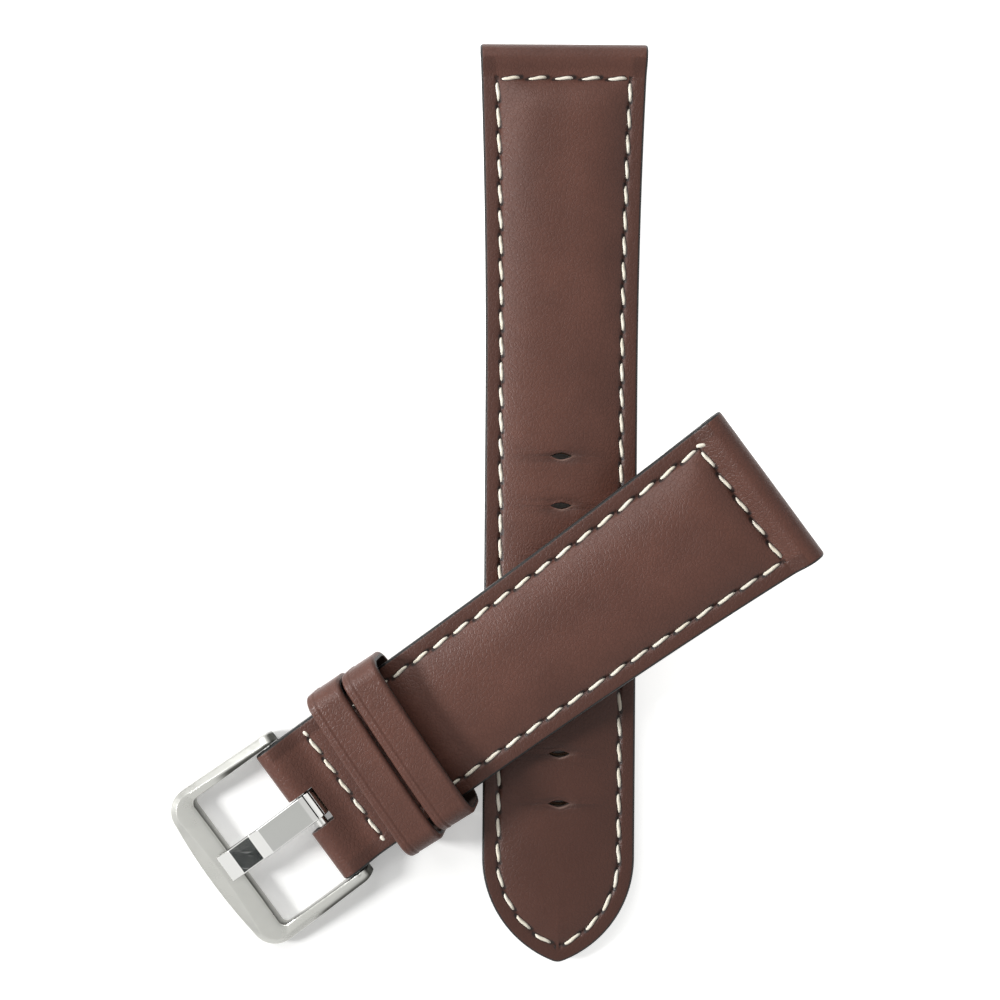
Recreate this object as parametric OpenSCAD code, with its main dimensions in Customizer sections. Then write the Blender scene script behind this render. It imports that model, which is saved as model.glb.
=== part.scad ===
// Padded leather watch strap in two halves, with a pin buckle and two keepers.
// Millimetres. The long half lies along Y with the axis of its lug tunnel through the origin, so the
// ground is one tunnel's outer radius lower. The short half lies across it, propped on it, with its
// buckle on the ground. Each half is drawn with its underside at z = 0 and then put in its place.

/* [Strap] */
// Width of both halves at the lugs
lug_w = 22; // [20:0.5:24]
// Width of the tail and of the buckle end
tail_w = 20; // [18:0.5:21]
// Length of the long half, from its lug end to its point
long_len = 120.5; // [112:0.5:132]
// Length of the short half, from its lug end to its fold round the spring bar
short_len = 75; // [70:0.5:82]
// Length over which a half narrows from the lugs
taper_len = 47; // [35:1:50]
// Length of the pointed tip
tip_len = 13.9; // [12:0.1:16]
// Radius of the tip's nose
nose_r = 1.9; // [1.2:0.1:2.5]

/* [Leather] */
// Thickness of the top leather
cover_t = 1.0; // [0.8:0.05:1.2]
// Thickness of the lining leather
lining_t = 0.8; // [0.7:0.05:1]
// Thickness of the fibre strip inside
strip_t = 0.3; // [0.2:0.05:0.4]
// Thickness of the leather that is turned round a tunnel
wrap_t = 1.0; // [0.8:0.05:1.2]
// Height of the padded crown behind the lugs, over the margin
lug_crown = 1.9; // [1.2:0.1:2.4]
// Height of the padded crown near the tail and the keepers
tail_crown = 0.75; // [0.4:0.05:0.9]
// Length over which the crown comes down to its lower height
crown_run = 80; // [60:1:90]
// Height of the margin on the stitch line behind the lugs
lug_margin_h = 2.95; // [2.7:0.05:3.2]
// Length over which the margin comes down to its plain height
margin_run = 26; // [18:1:32]
// Length of leather turned under at a lug end
lug_flap = 8.5; // [7:0.1:10]

/* [Tunnels] */
// Radius of the lug tunnels, for the watch's own spring bars
tunnel_r = 1.0; // [0.9:0.05:1.15]
// Gap between the buckle's spring bar and its tunnel
bar_gap = 0.15; // [0.1:0.05:0.2]

/* [Stitching] */
// Distance of the stitch line from the edge
stitch_inset = 2.1; // [1.8:0.1:2.6]
// Distance of the stitch line from a lug end
lug_stitch = 4.65; // [4.4:0.05:5.4]
// Distance of the cross stitches from the fold at the buckle
fold_stitch = 7.35; // [6.6:0.05:7.8]
// Distance between stitches
stitch_pitch = 3.3; // [3:0.1:3.8]
// Length of a stitch
stitch_len = 2.7; // [2.2:0.05:2.8]
// Thickness of the thread
thread_d = 0.5; // [0.4:0.05:0.6]

/* [Tongue holes] */
// Number of holes in the long half
hole_count = 8; // [5:1:9]
// Distance between holes
hole_pitch = 6.5; // [6:0.1:7]
// Distance of the last hole from the point
hole_from_tip = 21; // [19:0.5:24]
// Length of a hole across the strap
hole_len = 2.9; // [2.2:0.1:3.4]
// Width of a hole along the strap
hole_w = 1.0; // [0.8:0.1:1.4]

/* [Keepers] */
// Width of a keeper along the strap
keeper_w = 5.0; // [4:0.1:5.2]
// Thickness of a keeper's outer leather
keeper_t = 0.9; // [0.7:0.05:1]
// Thickness of the backing strip inside a keeper
backing_t = 0.3; // [0.2:0.05:0.4]
// Thickness of a keeper's lap under the strap
lap_t = 0.7; // [0.6:0.05:0.8]
// Room over the strap inside a keeper, for the tail
keeper_room = 3.3; // [3:0.1:3.8]
// Room beside the strap in the fixed keeper
fixed_side_room = 1.1; // [0.8:0.05:1.3]
// Room beside the strap in the free keeper
free_side_room = 0.7; // [0.6:0.05:0.9]
// Distance of the fixed keeper from the spring bar
fixed_keeper_at = 8.6; // [7.6:0.05:9.2]
// Distance between the keepers
keeper_gap = 0.45; // [0.3:0.05:1]
// Gap under the strap that lets the free keeper slide
keeper_slip = 0.1; // [0.05:0.01:0.14]
// Skew of the keepers on the strap
keeper_skew = -2.6; // [-3:0.1:0]
// How far the free keeper slides towards the lugs
keeper_travel = 22; // [15:1:24]

/* [Buckle] */
// Gap between the strap and each arm of the buckle
arm_gap = 0.2; // [0.15:0.05:0.4]
// Width of an arm at the spring bar
arm_w = 1.45; // [1.3:0.05:1.7]
// Extra width of each arm at the front corner
arm_flare = 0.45; // [0.2:0.05:0.6]
// Distance from the spring bar to the front bar's inner edge
opening_len = 12.3; // [11.5:0.1:14]
// Width of the front bar
front_w = 4.3; // [3.8:0.1:5]
// Bow of the front bar's outer edge
front_bow = 0.5; // [0.2:0.05:0.8]
// Width of the slope along the arms' outer edges, taken over the frame's whole height
bevel_w = 1.9; // [1.2:0.1:2.2]
// Distance of the front bar's ridge from its outer edge
ridge_in = 1.9; // [1.2:0.1:2.4]
// Radius of the frame's outer corners
corner_r = 3.4; // [2.5:0.1:4]
// Radius of the opening's corners
inner_corner_r = 0.8; // [0.5:0.1:1.2]
// Height of the frame over the spring bar's axis
frame_up = 0.7; // [0.5:0.05:0.9]
// Depth of the frame under the spring bar's axis
frame_down = 1.3; // [1.1:0.05:1.5]
// Radius of the arms' round ends
arm_end_r = 1.75; // [1.6:0.05:1.9]
// Height of the arms' arch between the front bar and the spring bar
arm_arch = 0.45; // [0:0.05:0.6]

/* [Tongue] */
// Width of the tongue
tongue_w = 3.8; // [3:0.1:4.2]
// Thickness of the tongue's metal
tongue_t = 0.9; // [0.7:0.05:1]
// Rise of the tongue's flat top over its barrel
tongue_rise = 0.85; // [0.6:0.05:1.1]
// How far the tip of the tongue lies on the front bar
tongue_lap = 1.5; // [1:0.1:2]
// Gap between the tongue and the leather beside it
notch_gap = 0.65; // [0.4:0.05:0.9]
// Where the tongue stands along its bar, from the middle of its notch
tongue_at = -0.45; // [-0.45:0.05:0.45]

/* [Spring bar] */
// Radius of the tube
bar_r = 0.8; // [0.75:0.05:0.9]
// Radius of the plungers' pivots
pivot_r = 0.42; // [0.35:0.01:0.45]
// Length of a pivot in its arm
pivot_len = 0.85; // [0.7:0.05:0.9]
// Radial gap of a pivot in its hole
pivot_gap = 0.05; // [0.03:0.01:0.08]
// How far a plunger goes in
plunger_travel = 1.0; // [0.9:0.05:1.1]

/* [Pose] */
// Angle of the short half from the X axis
heading = 36.7; // [32:0.1:40]
// Distance from the lugs at which the short half crosses the long one
cross_at = 76.5; // [70:0.5:80]
// Gap between the free keeper and the side of the long half
keeper_clear = 0.3; // [0.3:0.1:1.5]
// Gap between the free keeper's path and the top of the long half
path_gap = 0.12; // [0.1:0.01:0.2]

/* [Hidden] */
$fn = 48;

leather_colour = [0.36, 0.20, 0.16];
dark_colour = [0.17, 0.09, 0.07];
lining_colour = [0.50, 0.33, 0.22];
strip_colour = [0.75, 0.72, 0.66];
thread_colour = [0.90, 0.86, 0.76];
steel_colour = [0.78, 0.79, 0.80];

// Gap that keeps glued layers apart
glue_gap = 0.02;
lug_half = lug_w / 2;
tail_half = tail_w / 2;
eye_r = tunnel_r + wrap_t;
bar_tunnel_r = bar_r + bar_gap;
fold_r = bar_tunnel_r + wrap_t;
base_h = lining_t + strip_t + 2 * glue_gap;
margin_h = base_h + cover_t;
// Back of the leather round a tunnel, measured from its end
eye_back = eye_r + tunnel_r + 0.95 * wrap_t;
fold_back = fold_r + bar_tunnel_r + 0.95 * wrap_t;
fold_flap = fold_r + fixed_keeper_at - 0.35;
// Width over which the crown rises, across the strap and along it
crown_side = 8;
crown_end = 6.5;
// Depth of the crease that the top stitches lie in
crease_d = 0.15;

// The tip's sides are arcs, tangent to the strap's sides, that meet on its middle line
tip_r = (tip_len * tip_len + tail_half * tail_half) / tail_w;
tip_side_x = tail_half - tip_r;
nose_y = tip_len - sqrt(pow(tip_r - nose_r, 2) - pow(tip_side_x, 2));
nose_cut = nose_y - nose_r;
nose_turn = acos(-tip_side_x / (tip_r - nose_r));

function clamp1(q) = max(0, min(1, q));
// Height of a padded edge: steep at the seam and flat on top
function swell(q) = 1 - pow(1 - clamp1(q), 3);
// Smooth step from 0 to 1
function ease(q) = 0.5 - 0.5 * cos(180 * clamp1(q));

// d is the distance from a half's lug end, and x the distance from its middle line
function half_w(d) = tail_half + (lug_half - tail_half) * pow(max(0, 1 - d / taper_len), 2);
function tip_y(d) = long_len + nose_cut - d;
function long_half_w(d) = let (y = tip_y(d))
    y >= tip_len ? half_w(d)
    : y > tip_len - tip_r * sin(nose_turn) ? tip_side_x + sqrt(tip_r * tip_r - pow(tip_len - y, 2))
    : sqrt(max(0.02, nose_r * nose_r - pow(nose_y - y, 2)));
// Distance of a point inside the side stitch line
function long_in(d, x) = let (y = tip_y(d))
    y >= tip_len ? half_w(d) - stitch_inset - x
    : tip_r - stitch_inset - norm([x - tip_side_x, tip_len - y]);
function short_in(d, x) = half_w(d) - stitch_inset - x;

// Top of the margin, along a half that starts with a tunnel of outer radius r
function eye_top(d, r) = r + sqrt(max(0, r * r - pow(r - d, 2)));
function lug_edge(d) =
    d < eye_r ? eye_top(d, eye_r)
    : d < lug_stitch ? 2 * eye_r - (2 * eye_r - lug_margin_h) * ease((d - eye_r) / (lug_stitch - eye_r))
    : margin_h + (lug_margin_h - margin_h) * pow(max(0, 1 - (d - lug_stitch) / margin_run), 2);
function fold_edge(t) =
    t < fold_r ? eye_top(t, fold_r)
    : 2 * fold_r - (2 * fold_r - margin_h) * ease((t - fold_r) / (fold_stitch - 1 - fold_r));
function short_edge(d) = max(lug_edge(d), fold_edge(short_len - d));

// Height of the padded crown
function crown_h(d) = tail_crown + (lug_crown - tail_crown) * pow(max(0, 1 - d / crown_run), 1.6);
function long_crown(d, x) =
    crown_h(d) * swell(long_in(d, x) / crown_side) * swell((d - lug_stitch) / crown_end);
// The short half's padding ends under the fixed keeper
short_crown_stop = short_len - fold_r - fixed_keeper_at - 1;
function short_crown(d, x) =
    crown_h(d) * swell(short_in(d, x) / crown_side) * swell((d - lug_stitch) / crown_end)
    * swell((short_crown_stop - d) / crown_end);

// Stations along each half, close together where the shape turns
eye_stations = [for (a = [12, 30, 50, 70, 90]) eye_r * (1 - cos(a))];
lug_stations = concat(eye_stations, [
    eye_r + 0.45 * (lug_stitch - eye_r), eye_back, eye_back + 0.02,
    lug_stitch - 0.3, lug_stitch, lug_stitch + 0.7, lug_stitch + 1.6, lug_stitch + 3, lug_stitch + 5,
    lug_stitch + 8
]);
tip_start = long_len + nose_cut - tip_len;
long_stations = concat(
    lug_stations,
    [for (i = [1 : 7]) lug_stitch + 8 + i * (tip_start - lug_stitch - 8) / 8],
    [for (a = [0, 10, 20, 30, 39, 47, 54, 60, 65]) tip_start + tip_r * sin(min(a, nose_turn - 3))],
    [for (a = [nose_turn, (nose_turn + 83) / 2, 83]) long_len - nose_r + nose_r * sin(a)]
);
short_body_end = short_len - fold_stitch;
short_stations = concat(
    lug_stations,
    [for (i = [1 : 5]) lug_stitch + 8 + i * (short_crown_stop - crown_end - lug_stitch - 8) / 5],
    [for (q = [0.35, 0.65, 0.85, 1]) short_crown_stop - crown_end + q * crown_end],
    [short_body_end - 0.8, short_body_end, short_body_end + 1],
    [short_len - fold_back - 0.02, short_len - fold_back],
    [for (a = [90, 70, 50, 30, 12]) short_len - fold_r * (1 - cos(a))]
);

// Middle of a closed ring's box
function middle(ring) = [for (k = [0 : 2]) let (all = [for (p = ring) p[k]]) (min(all) + max(all)) / 2];

// A loft of closed rings that all have the same number of points, with flat ends
module loft(rings) {
    n = len(rings[0]);
    last = len(rings) - 1;
    points = concat([for (ring = rings) each ring], [middle(rings[0]), middle(rings[last])]);
    sides = [for (i = [0 : last - 1]) for (j = [0 : n - 1]) let (k = (j + 1) % n)
        each [[i * n + j, (i + 1) * n + k, i * n + k], [i * n + j, (i + 1) * n + j, (i + 1) * n + k]]];
    ends = [for (j = [0 : n - 1]) let (k = (j + 1) % n, m = (last + 1) * n)
        each [[m, j, k], [m + 1, last * n + k, last * n + j]]];
    polyhedron(points, concat(sides, ends), convexity = 6);
}

// A ring across a half from half a section, listed from its edge inwards, top and bottom
function whole_ring(top, bottom, y) = concat(
    [for (p = top) [p[0], y, p[1]]],
    [for (i = [len(top) - 2 : -1 : 0]) [-top[i][0], y, top[i][1]]],
    [for (p = bottom) [-p[0], y, p[1]]],
    [for (i = [len(bottom) - 2 : -1 : 0]) [bottom[i][0], y, bottom[i][1]]]
);

// Places of the section's points across the crown, as shares of the stitch line's distance
crown_shares = [0.93, 0.83, 0.69, 0.48, 0.24, 0];

// The top leather's rounded rim: how far it falls, how far in it starts, and the margin's swell
rim_fall = 0.35;
rim_in = 0.4;
margin_swell = 0.02;

// Section of the top leather at d: w is its half width, s its stitch line, edge its margin's top,
// low its margin's underside, and the rises its crown at each share, on top and underneath
function cover_ring(d, w, s, edge, rise, low, solid, in_crease) =
    let (h = edge - low, dip = in_crease ? crease_d : 0, round = min(1, (w - s) / stitch_inset))
    whole_ring(
        concat(
            [[w - 0.25 * rim_in * round, low], [w, low + 0.3 * h],
             [w, edge - rim_fall], [w - 0.3 * rim_in * round, edge - 0.3 * rim_fall],
             [w - rim_in * round, edge], [(w + s) / 2, edge + margin_swell], [s, edge - dip]],
            [for (i = [0 : len(crown_shares) - 1]) [s * crown_shares[i], edge + rise[i]]]
        ),
        concat(
            [[s, low]],
            [for (i = [0 : len(crown_shares) - 1]) [s * crown_shares[i], low + (solid ? 0 : rise[i])]]
        ),
        eye_r - d
    );

// Half widths of the stitch line
function long_seam(d) = let (w = long_half_w(d), lean = tip_y(d) < tip_len ? 1.25 : 1)
    max(0.3 * w, w + long_in(d, w) * lean);
function short_seam(d) = half_w(d) - stitch_inset;
function long_rise(d) = [for (k = crown_shares) long_crown(d, k * long_seam(d))];
function short_rise(d) = [for (k = crown_shares) short_crown(d, k * short_seam(d))];
function near(a, b) = abs(a - b) < 0.1;

function long_cover_ring(d) = let (solid = d <= eye_back, edge = lug_edge(d)) cover_ring(
    d, long_half_w(d), long_seam(d), edge - (near(d, lug_stitch) ? crease_d : 0), long_rise(d),
    d < eye_r ? 2 * eye_r - eye_top(d, eye_r) : solid ? 0 : edge - cover_t,
    solid, d > lug_stitch
);
function short_cover_ring(d) = let (
    t = short_len - d, solid = d <= eye_back || t <= fold_back, edge = short_edge(d)
) cover_ring(
    d, half_w(d), short_seam(d), edge - (near(d, lug_stitch) || near(t, fold_stitch) ? crease_d : 0),
    short_rise(d),
    d < eye_r ? 2 * eye_r - eye_top(d, eye_r)
    : t < fold_r ? 2 * fold_r - eye_top(t, fold_r)
    : solid ? 0 : edge - cover_t,
    solid, d > lug_stitch && d < short_crown_stop
);

// Section of the padding under the top leather. It reaches the edge behind the lugs and then
// stays inside the seam.
padding_gap = 0.09;
padding_edge = 0.35;
padding_thin = 0.05;
function padding_ring(d, w, s, rise) = let (
    top = lug_edge(d) - cover_t - padding_gap,
    shares = d < lug_stitch + 6 ? [(w - padding_edge) / s, 0.995]
        : d < lug_stitch + 9 ? [0.995, 0.97] : [0.955, 0.94],
    outer = [for (k = shares) [k, rise[0] * clamp1((1 - k) / (1 - crown_shares[0]))]],
    inner = [for (i = [0 : len(crown_shares) - 1]) [crown_shares[i], rise[i]]]
) whole_ring(
    [for (p = concat(outer, inner)) [s * p[0], max(top + p[1], base_h + padding_thin)]],
    [[s * shares[0], base_h], [0, base_h]],
    eye_r - d
);
function long_padding_ring(d) = padding_ring(d, long_half_w(d), long_seam(d), long_rise(d));
function short_padding_ring(d) = padding_ring(d, half_w(d), short_seam(d), short_rise(d));

// The padding starts behind the tunnel, and stops in the tip or where the crown comes down
padding_start = eye_back + 0.06;
function between(list, low, high) = [for (d = list) if (d > low && d < high) d];
long_padding_stations = concat([padding_start], between(long_stations, padding_start, tip_start + 8));
short_padding_stations = concat([padding_start],
    between(short_stations, padding_start, short_crown_stop - 0.3 * crown_end));

// Outline of a half from d0 to d1, drawn inset from its edge
side_steps = 14;
function side_points(inset, d0, d1) = [for (i = [0 : side_steps])
    let (d = d0 + (d1 - d0) * i / side_steps) [half_w(d) - inset, eye_r - d]];
function tip_points(inset) = concat(
    [for (i = [1 : 10]) let (
        stop = inset < nose_r - 0.1 ? nose_turn : acos(-tip_side_x / (tip_r - inset)),
        a = stop * i / 10
    ) [tip_side_x + (tip_r - inset) * cos(a), eye_r - tip_start - (tip_r - inset) * sin(a)]],
    inset < nose_r - 0.1
        ? [for (i = [1 : 5]) let (a = nose_turn + (90 - nose_turn) * i / 5)
            [(nose_r - inset) * cos(a), eye_r - long_len + nose_r - (nose_r - inset) * sin(a)]]
        : []
);
function mirrored(list) =
    [for (i = [len(list) - 1 : -1 : 0]) if (list[i][0] > 0.001) [-list[i][0], list[i][1]]];
module half_plate(points, low, high) {
    translate([0, 0, low])
        linear_extrude(high - low) polygon(concat(points, mirrored(points)));
}
module long_plate(inset, d0, low, high) {
    half_plate(concat(side_points(inset, d0, tip_start), tip_points(inset)), low, high);
}
module short_plate(inset, d0, d1, low, high) {
    half_plate(side_points(inset, d0, d1), low, high);
}

// Crease in the underside that the bottom stitches lie in
groove_half = 0.45;
groove_depth = 0.3;
module long_groove() {
    difference() {
        long_plate(stitch_inset - groove_half, lug_stitch - groove_half, -over, groove_depth);
        long_plate(stitch_inset + groove_half, lug_stitch + groove_half, -2 * over, groove_depth + over);
    }
}
module short_groove() {
    difference() {
        short_plate(stitch_inset - groove_half, lug_stitch - groove_half, short_seam_end,
            -over, groove_depth);
        short_plate(stitch_inset + groove_half, lug_stitch + groove_half, short_len,
            -2 * over, groove_depth + over);
    }
    translate([-fold_seam_half - groove_half, eye_r - short_len + fold_stitch - groove_half, -over])
        cube([2 * (fold_seam_half + groove_half), 2 * groove_half, over + groove_depth]);
}

// Height of the cutters that go right through, and how far cutters stand out
cut_h = 8;
over = 1;

// Tunnel through leather, across the strap at distance d from the lug end
module tunnel(r, d, h) {
    translate([0, eye_r - d, h]) rotate([0, 90, 0]) cylinder(r = r, h = lug_w + 2 * over, center = true);
}

// One tongue hole with round ends, and the row of them
module tongue_hole() {
    hole_end = (hole_len - hole_w) / 2;
    for (x = [-hole_end, hole_end]) translate([x, 0, -over]) cylinder(d = hole_w, h = cut_h);
    translate([-hole_end, -hole_w / 2, -over]) cube([2 * hole_end, hole_w, cut_h]);
}
module tongue_holes() {
    for (i = [0 : hole_count - 1])
        translate([0, eye_r - long_len + hole_from_tip + i * hole_pitch, 0]) tongue_hole();
}

// A stitch is a shallow arc of thread along X whose ends go into the leather
module stitch(sag) {
    bend_r = (stitch_len * stitch_len / 4 + sag * sag) / (2 * sag);
    reach = asin(stitch_len / 2 / bend_r);
    translate([0, 0, -bend_r]) rotate([90, 0, 0]) rotate([0, 0, 90 - reach])
        rotate_extrude(angle = 2 * reach) translate([bend_r, 0]) circle(d = thread_d, $fn = 16);
}
stitch_slant = 7;
top_lift = 0.1;
// A stitch on top of the leather at p = [x, y, z], laid along angle a
module top_stitch(p, a) {
    translate([p[0], p[1], p[2] + top_lift]) rotate([0, 0, a]) stitch(0.35);
}
// A stitch in the crease of the underside
module bottom_stitch(p, a) {
    translate([p[0], p[1], thread_d / 2 + 0.02]) rotate([0, 0, a]) mirror([0, 0, 1]) stitch(0.17);
}

// Places of the stitches, each [x, y, z, angle], on the right side of a half
seam_h = margin_h - crease_d;
tip_seam_r = tip_r - stitch_inset;
tip_seam_turn = acos(-tip_side_x / tip_seam_r);
// The long side's seam runs to just before the tip's middle line, in equal steps
tip_seam_gap = 0.5;
long_side_run = tip_start - lug_stitch;
long_run = long_side_run + tip_seam_r * tip_seam_turn * PI / 180 - tip_seam_gap;
long_side_count = floor(long_run / stitch_pitch);
lug_seam_count = round(2 * short_seam(lug_stitch) / stitch_pitch);
lug_seam_pitch = 2 * short_seam(lug_stitch) / lug_seam_count;
short_seam_end = short_len - fold_r - fixed_keeper_at - keeper_w / 2;
short_side_count = floor((short_seam_end - lug_stitch) / stitch_pitch);
fold_seam_half = tail_half - 1.9;
fold_seam_count = 5;
fold_seam_pitch = 2 * fold_seam_half / fold_seam_count;

function seam_spot(run) = let (d = lug_stitch + run, a = (run - long_side_run) / tip_seam_r * 180 / PI)
    run < long_side_run
        ? [short_seam(d), eye_r - d, lug_edge(d) - crease_d, 90]
        : [tip_side_x + tip_seam_r * cos(a), eye_r - tip_start - tip_seam_r * sin(a), seam_h, 90 - a];
function side_seam(count, pitch) = [for (i = [0 : count - 1]) seam_spot((i + 0.5) * pitch)];
module both_sides(seam, top) {
    for (p = seam) for (side = [1, -1]) {
        spot = [side * p[0], p[1], p[2]];
        if (top) top_stitch(spot, side * p[3] + stitch_slant);
        else bottom_stitch(spot, side * p[3]);
    }
}
module lug_seam(top) {
    for (i = [0 : lug_seam_count - 1]) {
        x = (i + 0.5) * lug_seam_pitch - short_seam(lug_stitch);
        spot = [x, eye_r - lug_stitch, lug_margin_h - crease_d];
        if (top) top_stitch(spot, stitch_slant);
        else bottom_stitch(spot, 0);
    }
}
module fold_seam(top) {
    for (i = [0 : fold_seam_count - 1]) {
        spot = [(i + 0.5) * fold_seam_pitch - fold_seam_half, eye_r - short_len + fold_stitch, seam_h];
        if (top) top_stitch(spot, stitch_slant);
        else bottom_stitch(spot, 0);
    }
}

// Long half
module long_placed() {
    translate([0, 0, -eye_r]) children();
}
module long_cover() {
    color(leather_colour) long_placed() difference() {
        union() {
            loft([for (d = long_stations) long_cover_ring(d)]);
            short_plate(0.12, eye_r + 0.6, lug_flap, 0, lining_t);
        }
        tunnel(tunnel_r, eye_r, eye_r);
        long_groove();
        tongue_holes();
    }
}
module long_padding() {
    color(strip_colour) long_placed() difference() {
        loft([for (d = long_padding_stations) long_padding_ring(d)]);
        tongue_holes();
    }
}
module long_fibre_strip() {
    color(strip_colour) long_placed() difference() {
        long_plate(0.3, padding_start, lining_t + glue_gap, lining_t + glue_gap + strip_t);
        tongue_holes();
    }
}
module long_lining() {
    color(lining_colour) long_placed() difference() {
        long_plate(0.05, lug_flap + 0.1, 0, lining_t);
        long_groove();
        tongue_holes();
    }
}
module long_top_thread() {
    color(thread_colour) long_placed() {
        both_sides(side_seam(long_side_count, long_run / long_side_count), true);
        lug_seam(true);
    }
}
module long_bottom_thread() {
    color(thread_colour) long_placed() {
        both_sides(side_seam(long_side_count, long_run / long_side_count), false);
        lug_seam(false);
    }
}

// The short half is drawn like the long one and then set with its spring bar on its own X axis
bar_y = short_len - fold_r - eye_r;
// Room between the halves for the keeper's lap
lap_room = keeper_slip + lap_t + path_gap;
turn = heading - 90;
free_keeper_mid = fixed_keeper_at + 1.5 * keeper_w + keeper_gap;
free_half = tail_half + free_side_room + keeper_t + backing_t;
// The spring bar's place: the free keeper's corner clears the side of the long half
corner_x = free_half * cos(keeper_skew) - keeper_w / 2 * sin(keeper_skew);
corner_y = free_keeper_mid + keeper_w / 2 * cos(keeper_skew) + free_half * sin(keeper_skew);
bar_px = -tail_half - keeper_clear - corner_y * cos(heading) - corner_x * sin(heading);
cross_run = -bar_px / cos(heading);
bar_py = eye_r - cross_at - cross_run * sin(heading);
ground_gap = 0.05;
bar_h = fold_r + ground_gap;
// The short half slopes up so that the free keeper's lap passes over the near edge of the long
// half: at this run from the spring bar, its underside has this height over the bar's axis
edge_in = 0.4;
edge_run = (-tail_half + edge_in - bar_px) / cos(heading) - tail_half * tan(heading);
edge_h = margin_h + lap_room - bar_h;
strap_tilt = atan2(edge_h, edge_run) + asin(fold_r / norm([edge_run, edge_h]));
module on_bar(tilt) {
    translate([bar_px, bar_py, bar_h - eye_r]) rotate([0, 0, turn]) rotate([tilt, 0, 0]) children();
}
module short_placed() {
    on_bar(strap_tilt) translate([0, bar_y, -fold_r]) children();
}

// Short half
module tongue_notch() {
    w = tongue_w + 2 * notch_gap;
    end_gap = 0.15;
    translate([-w / 2, eye_r - short_len - over, -over]) cube([w, over + 2 * fold_r + end_gap, cut_h]);
}
module short_cover() {
    color(leather_colour) short_placed() difference() {
        union() {
            loft([for (d = short_stations) short_cover_ring(d)]);
            short_plate(0.12, eye_r + 0.6, lug_flap, 0, lining_t);
            short_plate(0.12, short_len - fold_flap, short_len - fold_r - 0.6, 0, lining_t);
        }
        tunnel(tunnel_r, eye_r, eye_r);
        tunnel(bar_tunnel_r, short_len - fold_r, fold_r);
        short_groove();
        tongue_notch();
    }
}
module short_padding() {
    color(strip_colour) short_placed() loft([for (d = short_padding_stations) short_padding_ring(d)]);
}
module short_fibre_strip() {
    color(strip_colour) short_placed()
        short_plate(0.3, padding_start, short_len - fold_back - 0.06,
            lining_t + glue_gap, lining_t + glue_gap + strip_t);
}
module short_lining() {
    color(lining_colour) short_placed() difference() {
        short_plate(0.05, lug_flap + 0.1, short_len - fold_flap - 0.1, 0, lining_t);
        short_groove();
    }
}
module short_top_thread() {
    color(thread_colour) short_placed() {
        both_sides(side_seam(short_side_count, stitch_pitch), true);
        lug_seam(true);
    }
}
module short_bottom_thread() {
    color(thread_colour) short_placed() {
        both_sides(side_seam(short_side_count, stitch_pitch), false);
        lug_seam(false);
    }
}
module fold_top_thread() {
    color(thread_colour) short_placed() fold_seam(true);
}
module fold_bottom_thread() {
    color(thread_colour) short_placed() fold_seam(false);
}

// Keepers: a strip of leather taken round the strap, domed on top and lapped underneath.
// The path runs round a rounded box, at the inner face: w is half its width, h its height.
keeper_top_r = 1.6;
keeper_low_r = 1.15;
keeper_dome = 0.35;
corner_steps = 5;
function corner(x, y, r, from) = [for (i = [0 : corner_steps]) let (a = from + 90 * i / corner_steps)
    [x + r * cos(a), y + r * sin(a), cos(a), sin(a)]];
function keeper_path(w, low, high) = concat(
    [for (x = [-0.75, -0.4, 0, 0.4, 0.75]) [x * w, low, 0, -1]],
    corner(w - keeper_low_r, low + keeper_low_r, keeper_low_r, -90),
    corner(w - keeper_top_r, high - keeper_top_r, keeper_top_r, 0),
    [for (x = [0.75, 0.4, 0, -0.4, -0.75]) [x * w, high + keeper_dome * (1 - x * x), 0, 1]],
    corner(keeper_top_r - w, high - keeper_top_r, keeper_top_r, 90),
    corner(keeper_low_r - w, low + keeper_low_r, keeper_low_r, 180)
);
// Thickness of the strip at a point of the path: thinner where it is lapped underneath
function ply(p, t, lap) = p[3] < -0.05 ? lap + (t - lap) * (1 + p[3]) : t;
// Section of the strip: [place across the strip, share of the thickness]
soft = 0.13;
strip_section = [[-0.5, 0.3], [-0.5 + soft / 2, 0], [0.5 - soft / 2, 0], [0.5, 0.3], [0.5, 0.62],
    [0.5 - soft / 3, 0.9], [0.5 - soft, 1], [0.17, 0.95], [-0.17, 0.95], [-0.5 + soft, 1],
    [-0.5 + soft / 3, 0.9], [-0.5, 0.62]];
module band(path, width, t, lap, section) {
    n = len(path);
    m = len(section);
    points = [for (p = path) for (s = section)
        let (out = ply(p, t, lap) * s[1]) [p[0] + p[2] * out, s[0] * width, p[1] + p[3] * out]];
    faces = [for (i = [0 : n - 1]) for (j = [0 : m - 1])
        let (a = i * m + j, b = i * m + (j + 1) % m, k = ((i + 1) % n) * m, c = k + (j + 1) % m, e = k + j)
        each [[a, b, c], [a, c, e]]];
    polyhedron(points, faces, convexity = 8);
}
module keeper_placed(at) {
    on_bar(strap_tilt) translate([0, at + keeper_w / 2, -fold_r]) rotate([0, 0, keeper_skew]) children();
}
fixed_half = tail_half + fixed_side_room;
free_inner_half = tail_half + free_side_room;
keeper_high = margin_h + keeper_room;
free_keeper_at = fixed_keeper_at + keeper_w + keeper_gap;
flat_section = [[-0.5, 0], [0.5, 0], [0.5, 1], [-0.5, 1]];
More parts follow.
